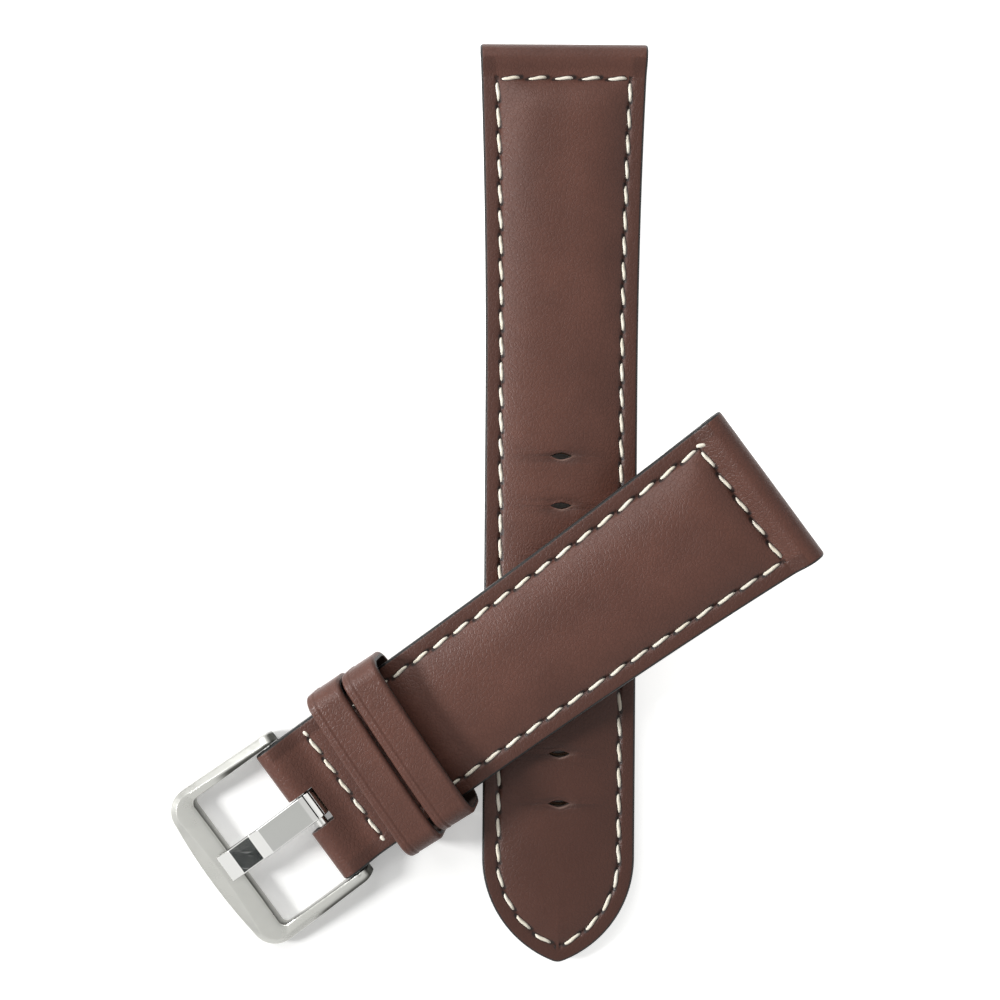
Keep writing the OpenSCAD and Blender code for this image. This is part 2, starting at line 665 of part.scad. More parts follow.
// The backing lies inside the strip, over the strap and down its sides
module backing(w, high) {
    on_top = [for (p = keeper_path(w, -keeper_slip, high)) if (p[1] > keeper_top_r + 0.3) p];
    n = len(on_top);
    inner = [for (p = on_top) [p[0], p[1]]];
    outer = [for (i = [n - 1 : -1 : 0]) let (p = on_top[i])
        [p[0] + p[2] * backing_t, p[1] + p[3] * backing_t]];
    rotate([90, 0, 0]) translate([0, 0, -0.36 * keeper_w]) linear_extrude(0.72 * keeper_w)
        polygon(concat(inner, outer));
}
module fixed_keeper() {
    color(leather_colour) keeper_placed(fixed_keeper_at)
        band(keeper_path(fixed_half + backing_t + glue_gap, -glue_gap, keeper_high + backing_t + glue_gap),
            keeper_w, keeper_t, lap_t, strip_section);
}
module fixed_keeper_backing() {
    color(dark_colour) keeper_placed(fixed_keeper_at) backing(fixed_half, keeper_high);
}
module free_keeper() {
    color(leather_colour) keeper_placed(free_keeper_at)
        band(keeper_path(free_inner_half + backing_t + glue_gap, -keeper_slip,
            keeper_high + backing_t + glue_gap), keeper_w, keeper_t, lap_t, strip_section);
}
module free_keeper_backing() {
    color(dark_colour) keeper_placed(free_keeper_at) backing(free_inner_half, keeper_high);
}

// Buckle. Its origin is on the spring bar's axis, and its front bar lies towards -Y.
arm_in = tail_half + arm_gap;
arm_out = arm_in + arm_w;
front_out = arm_out + arm_flare;
front_y = -opening_len - front_w;
// The frame leans until its front bar rests on the ground
frame_tilt = asin(bar_h / norm([front_y, frame_down])) - atan2(frame_down, -front_y);
bow_r = (pow(front_out - corner_r, 2) + front_bow * front_bow) / (2 * front_bow);

// Outline of the frame, inset by e, as points from the middle of the front round to the arm's end
function frame_side(e) = concat(
    [for (i = [0 : 4]) let (x = (front_out - corner_r) * i / 4)
        [x, front_y + e + bow_r - sqrt(bow_r * bow_r - x * x)]],
    [for (i = [1 : 6]) let (a = -90 + 90 * i / 6)
        [front_out - corner_r + (corner_r - e) * cos(a),
         front_y + front_bow + corner_r + (corner_r - e) * sin(a)]],
    [[arm_out - e, arm_end_r - 0.5], [arm_out - 0.5 - e, arm_end_r]]
);
module frame_outline(e) {
    side = frame_side(e);
    polygon(concat(side, mirrored(side)));
}
module frame_opening() {
    r = inner_corner_r;
    front = -opening_len;
    corners = [for (i = [0 : 5]) let (a = -90 + 90 * i / 5)
        [arm_in - r + r * cos(a), front + r + r * sin(a)]];
    side = concat([[0.5, front]], corners, [[arm_in, arm_end_r + 1]]);
    polygon(concat(side, mirrored(side)));
}
// Side view of the frame: a level front bar, arms that arch, and round ends at the spring bar
module frame_profile() {
    steps = 8;
    top = [for (i = [0 : steps - 1]) let (q = i / steps)
        [-opening_len * (1 - q), frame_up + arm_arch * sin(180 * q) + (arm_end_r - frame_up) * pow(q, 3)]];
    end = [for (a = [90 : -15 : -90]) [arm_end_r * cos(a), arm_end_r * sin(a)]];
    low = [for (i = [steps - 1 : -1 : 0]) let (q = i / steps) [
        -opening_len * (1 - q),
        -frame_down + arm_arch * sin(180 * q) - (arm_end_r - frame_down) * pow(q, 3)
    ]];
    polygon(concat([[front_y - over, frame_up]], top, end, low, [[front_y - over, -frame_down]]));
}
module buckle_frame() {
    rim_up = 0.15;
    pivot_end = 0.15;
    color(steel_colour) on_bar(frame_tilt) difference() {
        intersection() {
            // The slope along the outer edge, from a low rim up over the arms
            translate([0, 0, -frame_down - over]) hull() {
                linear_extrude(over + frame_down + rim_up) frame_outline(0);
                linear_extrude(over + 2 * arm_end_r) frame_outline(bevel_w);
            }
            rotate([90, 0, 90]) linear_extrude(2 * (front_out + over), center = true) frame_profile();
        }
        // The front bar's wider slope, from the rim up to its ridge
        translate([0, front_y, rim_up]) rotate([atan2(frame_up - rim_up, ridge_in), 0, 0])
            translate([-front_out - over, -over, 0])
                cube([2 * (front_out + over), over + front_w, front_w]);
        linear_extrude(cut_h, center = true) frame_opening();
        // Blind holes for the spring bar's pivots
        for (side = [-1, 1])
            translate([side * (arm_in - over), 0, 0]) rotate([0, side * 90, 0])
                cylinder(r = pivot_r + pivot_gap, h = over + pivot_len + pivot_end);
    }
}

// Tongue: a strip rolled into a barrel round the spring bar and bent down to the front bar
barrel_gap = 0.05;
barrel_in = bar_r + barrel_gap;
barrel_out = barrel_in + tongue_t;
rest_gap = 0.05;
// Heights of the tongue's top over the frame, where its flat part ends and at both ends of its step
tongue_knee = 2.0;
tongue_brow = 2.12;
tongue_nose = 1.4;
tongue_slit = 0.16;
// Side view of the strip: its long flat part, a bend down to the step, and the tip on the front bar
module tongue_profile() {
    flat_top = barrel_out + tongue_rise;
    tip_low = frame_up + rest_gap;
    bend_y = -0.55 * opening_len;
    knee_y = -0.68 * opening_len;
    brow_y = 0.6 - opening_len;
    tip_end = -opening_len - tongue_lap;
    chamfer = 0.2;
    polygon([
        [barrel_in / 2, barrel_out - tongue_slit], [-barrel_in / 2, barrel_out],
        [bend_y, flat_top], [knee_y, tongue_knee], [brow_y, tongue_brow],
        [tip_end + chamfer / 2, tongue_nose], [tip_end, tongue_nose - chamfer],
        [tip_end, tip_low + chamfer], [tip_end + chamfer, tip_low], [brow_y, tip_low],
        [knee_y, tongue_knee - tongue_t], [bend_y, flat_top - tongue_t],
        [-barrel_out + barrel_in / 2, barrel_in], [0, barrel_in + tongue_slit]
    ]);
}
module buckle_tongue() {
    color(steel_colour) on_bar(frame_tilt) translate([tongue_at, 0, 0]) difference() {
        union() {
            rotate([0, 90, 0]) cylinder(r = barrel_out, h = tongue_w, center = true);
            rotate([90, 0, 90]) linear_extrude(tongue_w, center = true) tongue_profile();
        }
        rotate([0, 90, 0]) cylinder(r = barrel_in, h = tongue_w + 2 * over, center = true);
        // Slit where the rolled end meets the strip
        translate([0, 2 * tongue_slit, barrel_out])
            cube([tongue_w + over, tongue_slit, 1.5 * tongue_t], center = true);
    }
}

// Spring bar, along X. The flanges clear the arms, and the plungers' heads lie in the tube.
flange_len = 0.4;
flange_gap = 0.04;
flange_r = bar_r - 0.06;
flange_in = arm_in - flange_gap - flange_len;
tube_wall = 0.18;
tube_half = flange_in - plunger_travel - 0.1;
tube_in = bar_r - tube_wall;
// The tube's ends are crimped round the plungers' necks
crimp_in = pivot_r + 0.06;
crimp_out = bar_r - 0.12;
crimp_len = 0.6;
head_len = 1.6;
head_r = tube_in - 0.05;
head_face = tube_half - crimp_len - 0.08;
module spring_bar_tube() {
    color(steel_colour) on_bar(strap_tilt) rotate([0, 90, 0]) rotate_extrude() polygon([
        [tube_in, -tube_half + crimp_len], [crimp_in, -tube_half], [crimp_out, -tube_half],
        [bar_r, -tube_half + crimp_len], [bar_r, tube_half - crimp_len], [crimp_out, tube_half],
        [crimp_in, tube_half], [tube_in, tube_half - crimp_len]
    ]);
}
// A plunger: a head held in the tube by its crimped end, a neck, a flange and a pivot
module plunger(side) {
    chamfer = 0.15;
    color(steel_colour) on_bar(strap_tilt) rotate([0, side * 90, 0]) rotate_extrude() polygon([
        [0, head_face - head_len], [head_r, head_face - head_len], [head_r, head_face - chamfer],
        [pivot_r, head_face], [pivot_r, flange_in], [flange_r, flange_in],
        [flange_r, flange_in + flange_len], [pivot_r, flange_in + flange_len],
        [pivot_r, arm_in + pivot_len - chamfer], [pivot_r - chamfer, arm_in + pivot_len],
        [0, arm_in + pivot_len]
    ]);
}
module spring_bar_plunger_left() { plunger(-1); }
module spring_bar_plunger_right() { plunger(1); }

// The spring is a coil of round wire between the plungers' heads
wire_d = 0.16;
coil_turns = 14;
coil_gap = 0.06;
module spring_bar_spring() {
    coil_r = tube_in - wire_d / 2 - coil_gap;
    half = head_face - head_len - wire_d / 2 - coil_gap;
    steps = coil_turns * 8;
    sides = 6;
    lean = atan(2 * half / coil_turns / (2 * PI * coil_r));
    points = [for (i = [0 : steps]) for (j = [0 : sides - 1]) let (
        a = 45 * i, b = 60 * j, r = coil_r + wire_d / 2 * cos(b), up = wire_d / 2 * sin(b)
    ) [-half + 2 * half * i / steps + up * cos(lean),
       r * cos(a) + up * sin(lean) * sin(a), r * sin(a) - up * sin(lean) * cos(a)]];
    walls = [for (i = [0 : steps - 1]) for (j = [0 : sides - 1]) let (k = (j + 1) % sides)
        each [[i * sides + j, i * sides + k, (i + 1) * sides + k],
              [i * sides + j, (i + 1) * sides + k, (i + 1) * sides + j]]];
    ends = [[for (j = [sides - 1 : -1 : 0]) j], [for (j = [0 : sides - 1]) steps * sides + j]];
    color(steel_colour) on_bar(strap_tilt) polyhedron(points, concat(walls, ends), convexity = 10);
}

long_cover();
long_padding();
long_fibre_strip();
long_lining();
long_top_thread();
long_bottom_thread();
short_cover();
short_padding();
short_fibre_strip();
short_lining();
short_top_thread();
short_bottom_thread();
fold_top_thread();
fold_bottom_thread();
fixed_keeper();
fixed_keeper_backing();
free_keeper();
free_keeper_backing();
buckle_frame();
buckle_tongue();
spring_bar_tube();
spring_bar_spring();
spring_bar_plunger_left();
spring_bar_plunger_right();
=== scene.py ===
import math

import bmesh
import bpy
import numpy as np
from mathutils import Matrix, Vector


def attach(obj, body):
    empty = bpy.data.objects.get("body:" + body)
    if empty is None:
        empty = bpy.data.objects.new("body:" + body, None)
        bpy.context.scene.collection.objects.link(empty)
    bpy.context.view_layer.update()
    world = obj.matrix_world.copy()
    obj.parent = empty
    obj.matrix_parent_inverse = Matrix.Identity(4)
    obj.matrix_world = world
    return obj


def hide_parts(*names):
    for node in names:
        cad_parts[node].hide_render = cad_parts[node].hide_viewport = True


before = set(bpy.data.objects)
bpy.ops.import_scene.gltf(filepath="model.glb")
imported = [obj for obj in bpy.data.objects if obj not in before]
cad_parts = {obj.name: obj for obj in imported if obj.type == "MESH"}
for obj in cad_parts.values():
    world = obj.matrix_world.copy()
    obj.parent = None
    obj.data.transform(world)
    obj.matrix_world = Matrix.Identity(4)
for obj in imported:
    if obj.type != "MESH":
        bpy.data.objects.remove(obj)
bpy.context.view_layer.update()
print("frame loaded")

# Sizes are in millimetres. d runs along a half from its lug end, t from its folded end. shutLug and
# shutFold are how far behind a tunnel's axis the turned leather lies shut on itself.
strap = dict(
    lugHalf=11.0, tailHalf=10.0, taperLen=47.0, inset=2.1,
    eyeR=2.0, tunnelR=1.0, foldR=1.95, barHoleR=0.95,
    cover=1.0, lining=0.8, marginH=2.14, lugMarginH=2.95, marginRun=26.0,
    lugCrown=1.9, tailCrown=0.75, crownRun=80.0, crownSide=8.0, crownEnd=6.5,
    lugStitch=4.65, foldStitch=7.35, lugFlap=8.5,
    edgeRound=0.42, edgeDrop=0.34, lip=0.28, lipLow=0.82,
    creaseDeep=0.2, creaseHalf=0.27, grooveDeep=0.31, grooveHalf=0.34,
    shutLug=1.97, shutFold=1.92, shutGap=0.003,
    # marginShadeFrom and marginShadeFade: where the margins' painted shade starts in from the edge, and
    # its fade.
    paintFrom=0.2, paintFade=0.14, marginShadeFrom=1.7, marginShadeFade=0.5, marginSwell=0.05, waveHigh=0.022,
)
longHalf = dict(length=120.5, tipLen=13.9, noseR=1.9)
shortHalf = dict(length=75.0, notchHalf=2.55, notchLen=4.05)
holes = dict(count=8, pitch=6.5, fromTip=21.0, halfLen=1.45, halfWide=0.47, pull=1.9,
             # lipHighlightAt and lipHighlightWide place the painted highlight along each hole's far lip.
             dip=0.13, dipWide=0.9, lipHighlightAt=0.06, lipHighlightWide=0.13)
stitches = dict(pitch=3.3, length=2.75, thick=0.5, slant=7.0, lift=0.1, sag=0.4, tipGap=0.5,
                lowSag=0.17, around=12, along=17, twistPitch=1.3, foldHalf=8.1, foldCount=5, lugCount=5,
                sink=0.15, lowGap=0.02, foldShare=0.93, backOff=(0.5, 0.35), backLen=(1.15, 0.95),
                knotTurn=62.0, knotLen=1.5, turnSpread=1.6, lengthSpread=0.025)
keeper = dict(wide=5.0, thick=0.9, lap=0.7, gap=0.02, backing=0.3, slip=0.1, high=5.44, dome=0.35,
              topR=1.6, lowR=1.15, skew=-2.6, fixedAt=8.6, apart=0.45, fixedRoom=1.1, freeRoom=0.7,
              hollow=0.055, raised=0.07, sunk=0.05, flare=0.012)
frameShape = dict(armIn=10.2, armOut=11.65, frontOut=12.1, openLen=12.3, frontY=-16.6, bow=0.5,
                  cornerR=3.4, innerR=0.8, up=0.7, down=1.3, endR=1.75, arch=0.45,
                  ridgeFront=1.95, ridgeArm=0.95, slopeFall=0.6, endTaper=0.7)
pose = dict(heading=36.7, crossAt=76.5, sideGap=0.3, pathGap=0.12, edgeIn=0.4, barHigh=2.0)


# Sizes that follow: the tip's side arcs are tangent to the sides and meet a small nose arc.
def tipArcs():
    h, half = longHalf, strap["tailHalf"]
    h["tipR"] = (h["tipLen"] ** 2 + half ** 2) / (2 * half)
    h["tipSideX"] = half - h["tipR"]
    reach = h["tipR"] - h["noseR"]
    h["noseY"] = h["tipLen"] - math.sqrt(reach ** 2 - h["tipSideX"] ** 2)
    h["noseCut"] = h["noseY"] - h["noseR"]
    h["noseTurn"] = math.acos(-h["tipSideX"] / reach)
    h["tipStart"] = h["length"] + h["noseCut"] - h["tipLen"]


# Where the short half lies: the free keeper's corner stays beside the long half, and the half
# leans just enough for that keeper's lap to pass over the long half's near edge.
def shortPlace():
    s, k, p, f = strap, keeper, pose, frameShape
    skew, heading = math.radians(k["skew"]), math.radians(p["heading"])
    k["freeAt"] = k["fixedAt"] + k["wide"] + k["apart"]
    k["fixedHalf"], k["freeHalf"] = s["tailHalf"] + k["fixedRoom"], s["tailHalf"] + k["freeRoom"]
    half = k["freeHalf"] + k["thick"] + k["backing"]
    cornerX = half * math.cos(skew) - k["wide"] / 2 * math.sin(skew)
    cornerY = k["freeAt"] + k["wide"] / 2 * (1 + math.cos(skew)) + half * math.sin(skew)
    barX = -s["tailHalf"] - p["sideGap"] - cornerY * math.cos(heading) - cornerX * math.sin(heading)
    edgeRun = (p["edgeIn"] - s["tailHalf"] - barX) / math.cos(heading)
    edgeRun -= s["tailHalf"] * math.tan(heading)
    edgeHigh = s["marginH"] + k["slip"] + k["lap"] + p["pathGap"] - p["barHigh"]
    lean = math.atan2(edgeHigh, edgeRun) + math.asin(s["foldR"] / math.hypot(edgeRun, edgeHigh))
    front = math.asin(p["barHigh"] / math.hypot(f["frontY"], f["down"])) - math.atan2(
        f["down"], -f["frontY"])
    f["bowR"] = ((f["frontOut"] - f["cornerR"]) ** 2 + f["bow"] ** 2) / (2 * f["bow"])
    s["foldFlap"] = s["foldR"] + k["fixedAt"] - 0.35
    shortHalf["crownStop"] = shortHalf["length"] - s["foldR"] - k["fixedAt"] - 1
    shortHalf["seamEnd"] = shortHalf["length"] - s["foldR"] - k["fixedAt"] - k["wide"] / 2
    return dict(barX=barX, barY=s["eyeR"] - p["crossAt"] + barX * math.tan(heading),
                barZ=p["barHigh"] - s["eyeR"], turn=p["heading"] - 90,
                strapTilt=math.degrees(lean), frameTilt=math.degrees(front))


tipArcs()
spot = shortPlace()


# Leans points about the spring bar (X), turns them round Z and moves them to the bar.
def onBar(p, tilt):
    a, b = math.radians(tilt), math.radians(spot["turn"])
    x, y, z = p[..., 0], p[..., 1], p[..., 2]
    y, z = y * math.cos(a) - z * math.sin(a), y * math.sin(a) + z * math.cos(a)
    x, y = x * math.cos(b) - y * math.sin(b), x * math.sin(b) + y * math.cos(b)
    return np.stack([x + spot["barX"], y + spot["barY"], z + spot["barZ"]], -1)


def onLong(p):
    return p + np.array([0.0, 0.0, -strap["eyeR"]])


def onShort(p):
    barY = shortHalf["length"] - strap["foldR"] - strap["eyeR"]
    return onBar(p + np.array([0.0, barY, -strap["foldR"]]), spot["strapTilt"])


# points in mm, faces a list of index arrays of one width each, marks a dict of point values.
def makePiece(name, points, faces, body, material, replaced=(), uv=None, marks=None,
              sharp=38.0):
    mesh = bpy.data.meshes.new(name)
    points = points.reshape(-1, 3)
    counts = np.concatenate([np.full(len(f), f.shape[1]) for f in faces])
    loops = np.concatenate([f.reshape(-1) for f in faces]).astype(np.int32)
    mesh.vertices.add(len(points))
    mesh.vertices.foreach_set("co", (points * 0.001).astype(np.float32).reshape(-1))
    mesh.loops.add(len(loops))
    mesh.loops.foreach_set("vertex_index", loops)
    mesh.polygons.add(len(counts))
    starts = np.concatenate([[0], np.cumsum(counts)[:-1]]).astype(np.int32)
    mesh.polygons.foreach_set("loop_start", starts)
    mesh.update(calc_edges=True)
    if uv is not None:
        layer = mesh.uv_layers.new(name="UVMap")
        layer.data.foreach_set("uv", uv.reshape(-1, 2)[loops].astype(np.float32).reshape(-1))
    for key, value in (marks or {}).items():
        mark = mesh.attributes.new(key, "FLOAT", "POINT")
        mark.data.foreach_set("value", value.astype(np.float32).reshape(-1))
    mesh.validate()
    mesh.shade_smooth()
    mesh.set_sharp_from_angle(angle=math.radians(sharp))
    piece = bpy.data.objects.new(name, mesh)
    bpy.context.scene.collection.objects.link(piece)
    mesh.materials.append(material)
    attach(piece, body)
    if replaced:
        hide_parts(*replaced)
    print("made", name, len(mesh.polygons), "faces")
    return piece


# Quads of a grid of indices, row by row; keep masks its cells. Their normal is row x column.
def gridQuads(index, keep=None):
    quads = np.stack([index[:-1, :-1], index[1:, :-1], index[1:, 1:], index[:-1, 1:]], -1)
    return quads[keep] if keep is not None else quads.reshape(-1, 4)


# A skin of two grids, outer and inner, closed along every free edge with a wall. At a slit row the
# next row is the same row, except inside the columns that are open.
def layered(outer, inner, keep, slits=()):
    rows, cols = outer.shape[:2]
    index = np.arange(rows * cols).reshape(rows, cols)
    keep = keep.copy()
    for row, first, last in slits:
        same = np.ones(cols, bool)
        same[first + 1:last] = False
        index[row + 1, same] = index[row, same]
        keep[row, :] = False
    top = gridQuads(index, keep)
    edges = np.concatenate([top[:, [i, (i + 1) % 4]] for i in range(4)])
    size = rows * cols
    code = edges[:, 0] * size + edges[:, 1]
    back = edges[:, 1] * size + edges[:, 0]
    free = edges[~np.isin(code, back)]
    wall = np.stack([free[:, 1], free[:, 0], free[:, 0] + size, free[:, 1] + size], -1)
    under = top[:, ::-1] + size
    faces = np.concatenate([top, under, wall])
    points = np.concatenate([outer.reshape(-1, 3), inner.reshape(-1, 3)])
    used, faces = np.unique(faces, return_inverse=True)
    return points[used], faces.reshape(-1, 4), used


# Smooth step from 0 to 1.
def ease(q):
    return 0.5 - 0.5 * np.cos(np.pi * np.clip(q, 0, 1))


# Height of a padded edge: steep at its seam and flat on top.
def swell(q):
    return 1 - (1 - np.clip(q, 0, 1)) ** 3


# Half width: 10 mm, opening to 11 mm at the lugs along a square law.
def halfWide(d):
    s = strap
    return s["tailHalf"] + (s["lugHalf"] - s["tailHalf"]) * np.maximum(0, 1 - d / s["taperLen"]) ** 2


# Half width of the long half's outline, drawn inset by e: sides, tip arcs and nose arc.
def longWide(d, e=0.0):
    h = longHalf
    y = h["length"] + h["noseCut"] - d
    body = halfWide(d) - e
    arc = h["tipSideX"] + np.sqrt(np.maximum(0, (h["tipR"] - e) ** 2 - (h["tipLen"] - y) ** 2))
    nose = np.sqrt(np.maximum(0.0, max(0.0, h["noseR"] - e) ** 2 - (h["noseY"] - y) ** 2))
    inArc = y > h["tipLen"] - (h["tipR"] - e) * math.sin(h["noseTurn"])
    return np.where(y >= h["tipLen"], body, np.where(inArc | (e > h["noseR"]), arc, nose))


# Distance of a point inside the long half's outline.
def longDepth(x, d):
    h = longHalf
    y = h["length"] + h["noseCut"] - d
    x = np.abs(x)
    up, out = h["tipLen"] - y, x - h["tipSideX"]
    arc = h["tipR"] - np.hypot(out, up)
    nose = h["noseR"] - np.hypot(x, h["noseY"] - y)
    inNose = np.arctan2(up, out) > h["noseTurn"]
    return np.where(y >= h["tipLen"], halfWide(d) - x, np.where(inNose, nose, arc))


def shortDepth(x, d):
    return halfWide(d) - np.abs(x)


def eyeTop(d, r):
    return r + np.sqrt(np.maximum(0, r * r - (r - d) ** 2))


# Top of the margin: round the lug tunnel, down to the seam, then slowly down to the tail.
def lugEdge(d):
    s = strap
    fall = 2 * s["eyeR"] - (2 * s["eyeR"] - s["lugMarginH"]) * ease(
        (d - s["eyeR"]) / (s["lugStitch"] - s["eyeR"]))
    run = s["marginH"] + (s["lugMarginH"] - s["marginH"]) * np.maximum(
        0, 1 - (d - s["lugStitch"]) / s["marginRun"]) ** 2
    return np.where(d < s["eyeR"], eyeTop(d, s["eyeR"]), np.where(d < s["lugStitch"], fall, run))


def foldEdge(t):
    s = strap
    fall = 2 * s["foldR"] - (2 * s["foldR"] - s["marginH"]) * ease(
        (t - s["foldR"]) / (s["foldStitch"] - 1 - s["foldR"]))
    return np.where(t < s["foldR"], eyeTop(t, s["foldR"]), fall)


def crownHigh(d):
    s = strap
    return s["tailCrown"] + (s["lugCrown"] - s["tailCrown"]) * np.maximum(
        0, 1 - d / s["crownRun"]) ** 1.6


def holePlaces():
    h = holes
    return longHalf["length"] - h["fromTip"] - h["pitch"] * np.arange(h["count"])


# Slow unevenness of hand-made leather, -1 to 1: a sum of sine waves at odd angles.
def ripple(x, y, seed):
    rng = np.random.default_rng(seed)
    total = np.zeros(np.broadcast(x, y).shape)
    for _ in range(7):
        a, wave, phase = rng.uniform(0, np.pi), rng.uniform(0.25, 1.3), rng.uniform(0, 2 * np.pi)
        total += np.sin(wave * (x * np.cos(a) + y * np.sin(a)) + phase) / 7
    return total


# How far the top falls at a rounded rim, a quarter of an ellipse.
def rimDrop(depth):
    s = strap
    q = np.clip(1 - depth / s["edgeRound"], 0, 1)
    return s["edgeDrop"] * (1 - np.sqrt(1 - q * q))


# Crease that a row of stitches pulls into the top: a bell across it, deeper where the thread goes in.
def seamValley(off, count):
    s = strap
    pull = 0.7 + 0.5 * np.cos(2 * np.pi * count)
    return s["creaseDeep"] * pull * np.exp(-(off / s["creaseHalf"]) ** 2)


# Length and number of stitches of a side seam. The long half's goes round the tip to its middle.
def sideSeam(isLong):
    s, h = strap, longHalf
    if not isLong:
        count = int((shortHalf["seamEnd"] - s["lugStitch"]) // stitches["pitch"])
        return count * stitches["pitch"], count
    seamR = h["tipR"] - s["inset"]
    run = h["tipStart"] - s["lugStitch"] + seamR * math.acos(-h["tipSideX"] / seamR)
    run -= stitches["tipGap"]
    return run, int(run // stitches["pitch"])


# The nearest row of stitches at each point: signed distance off it, and the run along it in stitches.
def seamPlace(x, d, isLong):
    s, h = strap, longHalf
    depth = longDepth(x, d) if isLong else shortDepth(x, d)
    inSeam = depth - s["inset"]
    length, count = sideSeam(isLong)
    run = d - s["lugStitch"]
    if isLong:
        turn = np.arctan2(d - h["tipStart"], np.abs(x) - h["tipSideX"])
        along = h["tipStart"] - s["lugStitch"] + turn * (h["tipR"] - s["inset"])
        run = np.where(d > h["tipStart"], along, run)
    off = np.where(x < 0, inSeam, -inSeam)
    sideRun = run / (length / count)
    wide = halfWide(np.array(s["lugStitch"])) - s["inset"]
    rowOff, rowRun = s["lugStitch"] - d, (x + wide) / (2 * wide / stitches["lugCount"])
    useRow = (np.abs(rowOff) < np.abs(inSeam)) | (d < s["lugStitch"] - 0.3)
    clear = (np.abs(np.abs(rowOff) - np.abs(inSeam)) > 0.3) | (np.abs(inSeam) < 0.25)
    shown = np.where(useRow, inSeam > -0.4, (run / length < 1.004) & (np.abs(x) > 0.2))
    if not isLong:
        t = shortHalf["length"] - d
        foldOff = t - s["foldStitch"]
        foldRun = (x + stitches["foldHalf"]) / (2 * stitches["foldHalf"] / stitches["foldCount"])
        useFold = t < s["foldStitch"] + 1.5
        rowOff, rowRun = np.where(useFold, foldOff, rowOff), np.where(useFold, foldRun, rowRun)
        useRow = useRow | useFold
        shown = np.where(useFold, np.abs(x) < stitches["foldHalf"] + 0.2, shown)
    return np.where(useRow, rowOff, off), np.where(useRow, rowRun, sideRun), shown.astype(float), clear


# Height of the top leather and its marks: margin, seam creases, padded crown and hole dips.
def topOf(x, d, isLong):
    s = strap
    depth = longDepth(x, d) if isLong else shortDepth(x, d)
    t = shortHalf["length"] - d
    edge = lugEdge(d) if isLong else np.maximum(lugEdge(d), foldEdge(t))
    inSeam = depth - s["inset"]
    crown = crownHigh(d) * swell(inSeam / s["crownSide"]) * swell((d - s["lugStitch"]) / s["crownEnd"])
    if not isLong:
        crown = crown * swell((shortHalf["crownStop"] - d) / s["crownEnd"])
    off, run, shown, clear = seamPlace(x, d, isLong)
    valley = seamValley(off, run) * shown
    swellMargin = s["marginSwell"] * np.sin(np.pi * np.clip(depth / s["inset"], 0, 1))
    swellMargin = swellMargin * ease((d - 4.4) / 0.5)
    wave = s["waveHigh"] * ripple(x, d, 3 if isLong else 8) * ease(depth / 1.5)
    z = edge + crown + swellMargin - valley + wave
    near, lip = np.zeros(z.shape), np.zeros(z.shape)
    if isLong:
        for place in holePlaces():
            far = np.hypot(np.maximum(0, np.abs(x) - 1.0), (d - place))
            z = z - holes["dip"] * np.exp(-(far / holes["dipWide"]) ** 2)
            near = np.maximum(near, np.exp(-(x / 4.6) ** 2 - ((d - place) / 1.0) ** 2))
            # A painted highlight along each hole's far lip, strongest right of the middle, where the rim
            # would catch the light.
            rim = holes["halfWide"] * (1 - np.clip(np.abs(x) / holes["halfLen"], 0, 1) ** 1.7)
            beyond = (d - place - rim - holes["lipHighlightAt"]) / holes["lipHighlightWide"]
            lip = np.maximum(lip, np.exp(-beyond ** 2 - ((x - 0.5) / 1.1) ** 2))
    seam = dict(seamOff=off, seamRun=run, seamShadeMask=shown * clear * (np.abs(off) < 1.3), holeLipHighlight=lip)
    return z, depth, seam, near


# Depth of the crease in the underside that the bottom stitches lie in.
def groove(x, d, isLong):
    s = strap
    depth = longDepth(x, d) if isLong else shortDepth(x, d)
    inSeam = depth - s["inset"]
    side = np.exp(-(inSeam / s["grooveHalf"]) ** 4) * ease((d - s["lugStitch"] + 0.3) / 0.3)
    row = np.exp(-((d - s["lugStitch"]) / s["grooveHalf"]) ** 4) * (inSeam > -0.3)
    if not isLong:
        t = shortHalf["length"] - d
        side = side * (d < shortHalf["seamEnd"])
        foldRow = np.exp(-((t - s["foldStitch"]) / s["grooveHalf"]) ** 4)
        row = np.maximum(row, foldRow * (np.abs(x) < stitches["foldHalf"] + 1))
    return s["grooveDeep"] * np.maximum(side, row)


# Pulls the rows round each tongue hole open to a lens, highest in its middle: a share of 1 - q^1.7.
def openHoles(d, x, slitRows, narrow=1.0):
    h = holes
    q = np.clip(np.abs(x) / h["halfLen"], 0, 1)
    high = narrow * h["halfWide"] * (1 - q ** 1.7)
    moved = d.copy()
    rows = np.arange(d.shape[0])[:, None]
    for row, place in slitRows:
        off = d - place
        side = np.where(rows <= row, -1.0, 1.0)
        fade = np.clip(1 - np.abs(off) / h["pull"], 0, 1) ** 2
        moved = moved + side * high * fade * (np.abs(off) < h["pull"])
    return moved


# Puts close rows and a double row at each tongue hole into a rising list of places.
def addHoleRows(d, step):
    slitRows = []
    for place in sorted(holePlaces()):
        near = np.array([-1.8, -1.35, -1.0, -0.7, -0.45, -0.25, -0.1, 0, 0, 0.1, 0.25, 0.45, 0.7, 1.0,
                         1.35, 1.8])
        d = np.concatenate([d[d < place - 1.8 - step / 2], place + near, d[d > place + 1.8 + step / 2]])
    for place in sorted(holePlaces()):
        slitRows.append((int(np.where(np.abs(d - place) < 1e-9)[0][0]), place))
    return d, slitRows


centreLong = np.concatenate([np.linspace(0, 1.45, 15), [1.6, 1.8, 2.05, 2.35, 2.65, 3.0]])
centreShort = np.array([0, 0.5, 1.0, 1.5, 2.0, 2.3, 2.45, 2.55, 2.65, 2.8, 3.0])
edgeSteps = np.array([3.2, 2.9, 2.65, 2.5, 2.38, 2.28, 2.19, 2.1, 2.01, 1.92, 1.82, 1.7, 1.5, 1.25, 1.0,
                      0.75, 0.55, 0.42, 0.3, 0.2, 0.12, 0.06, 0.02, 0.0])


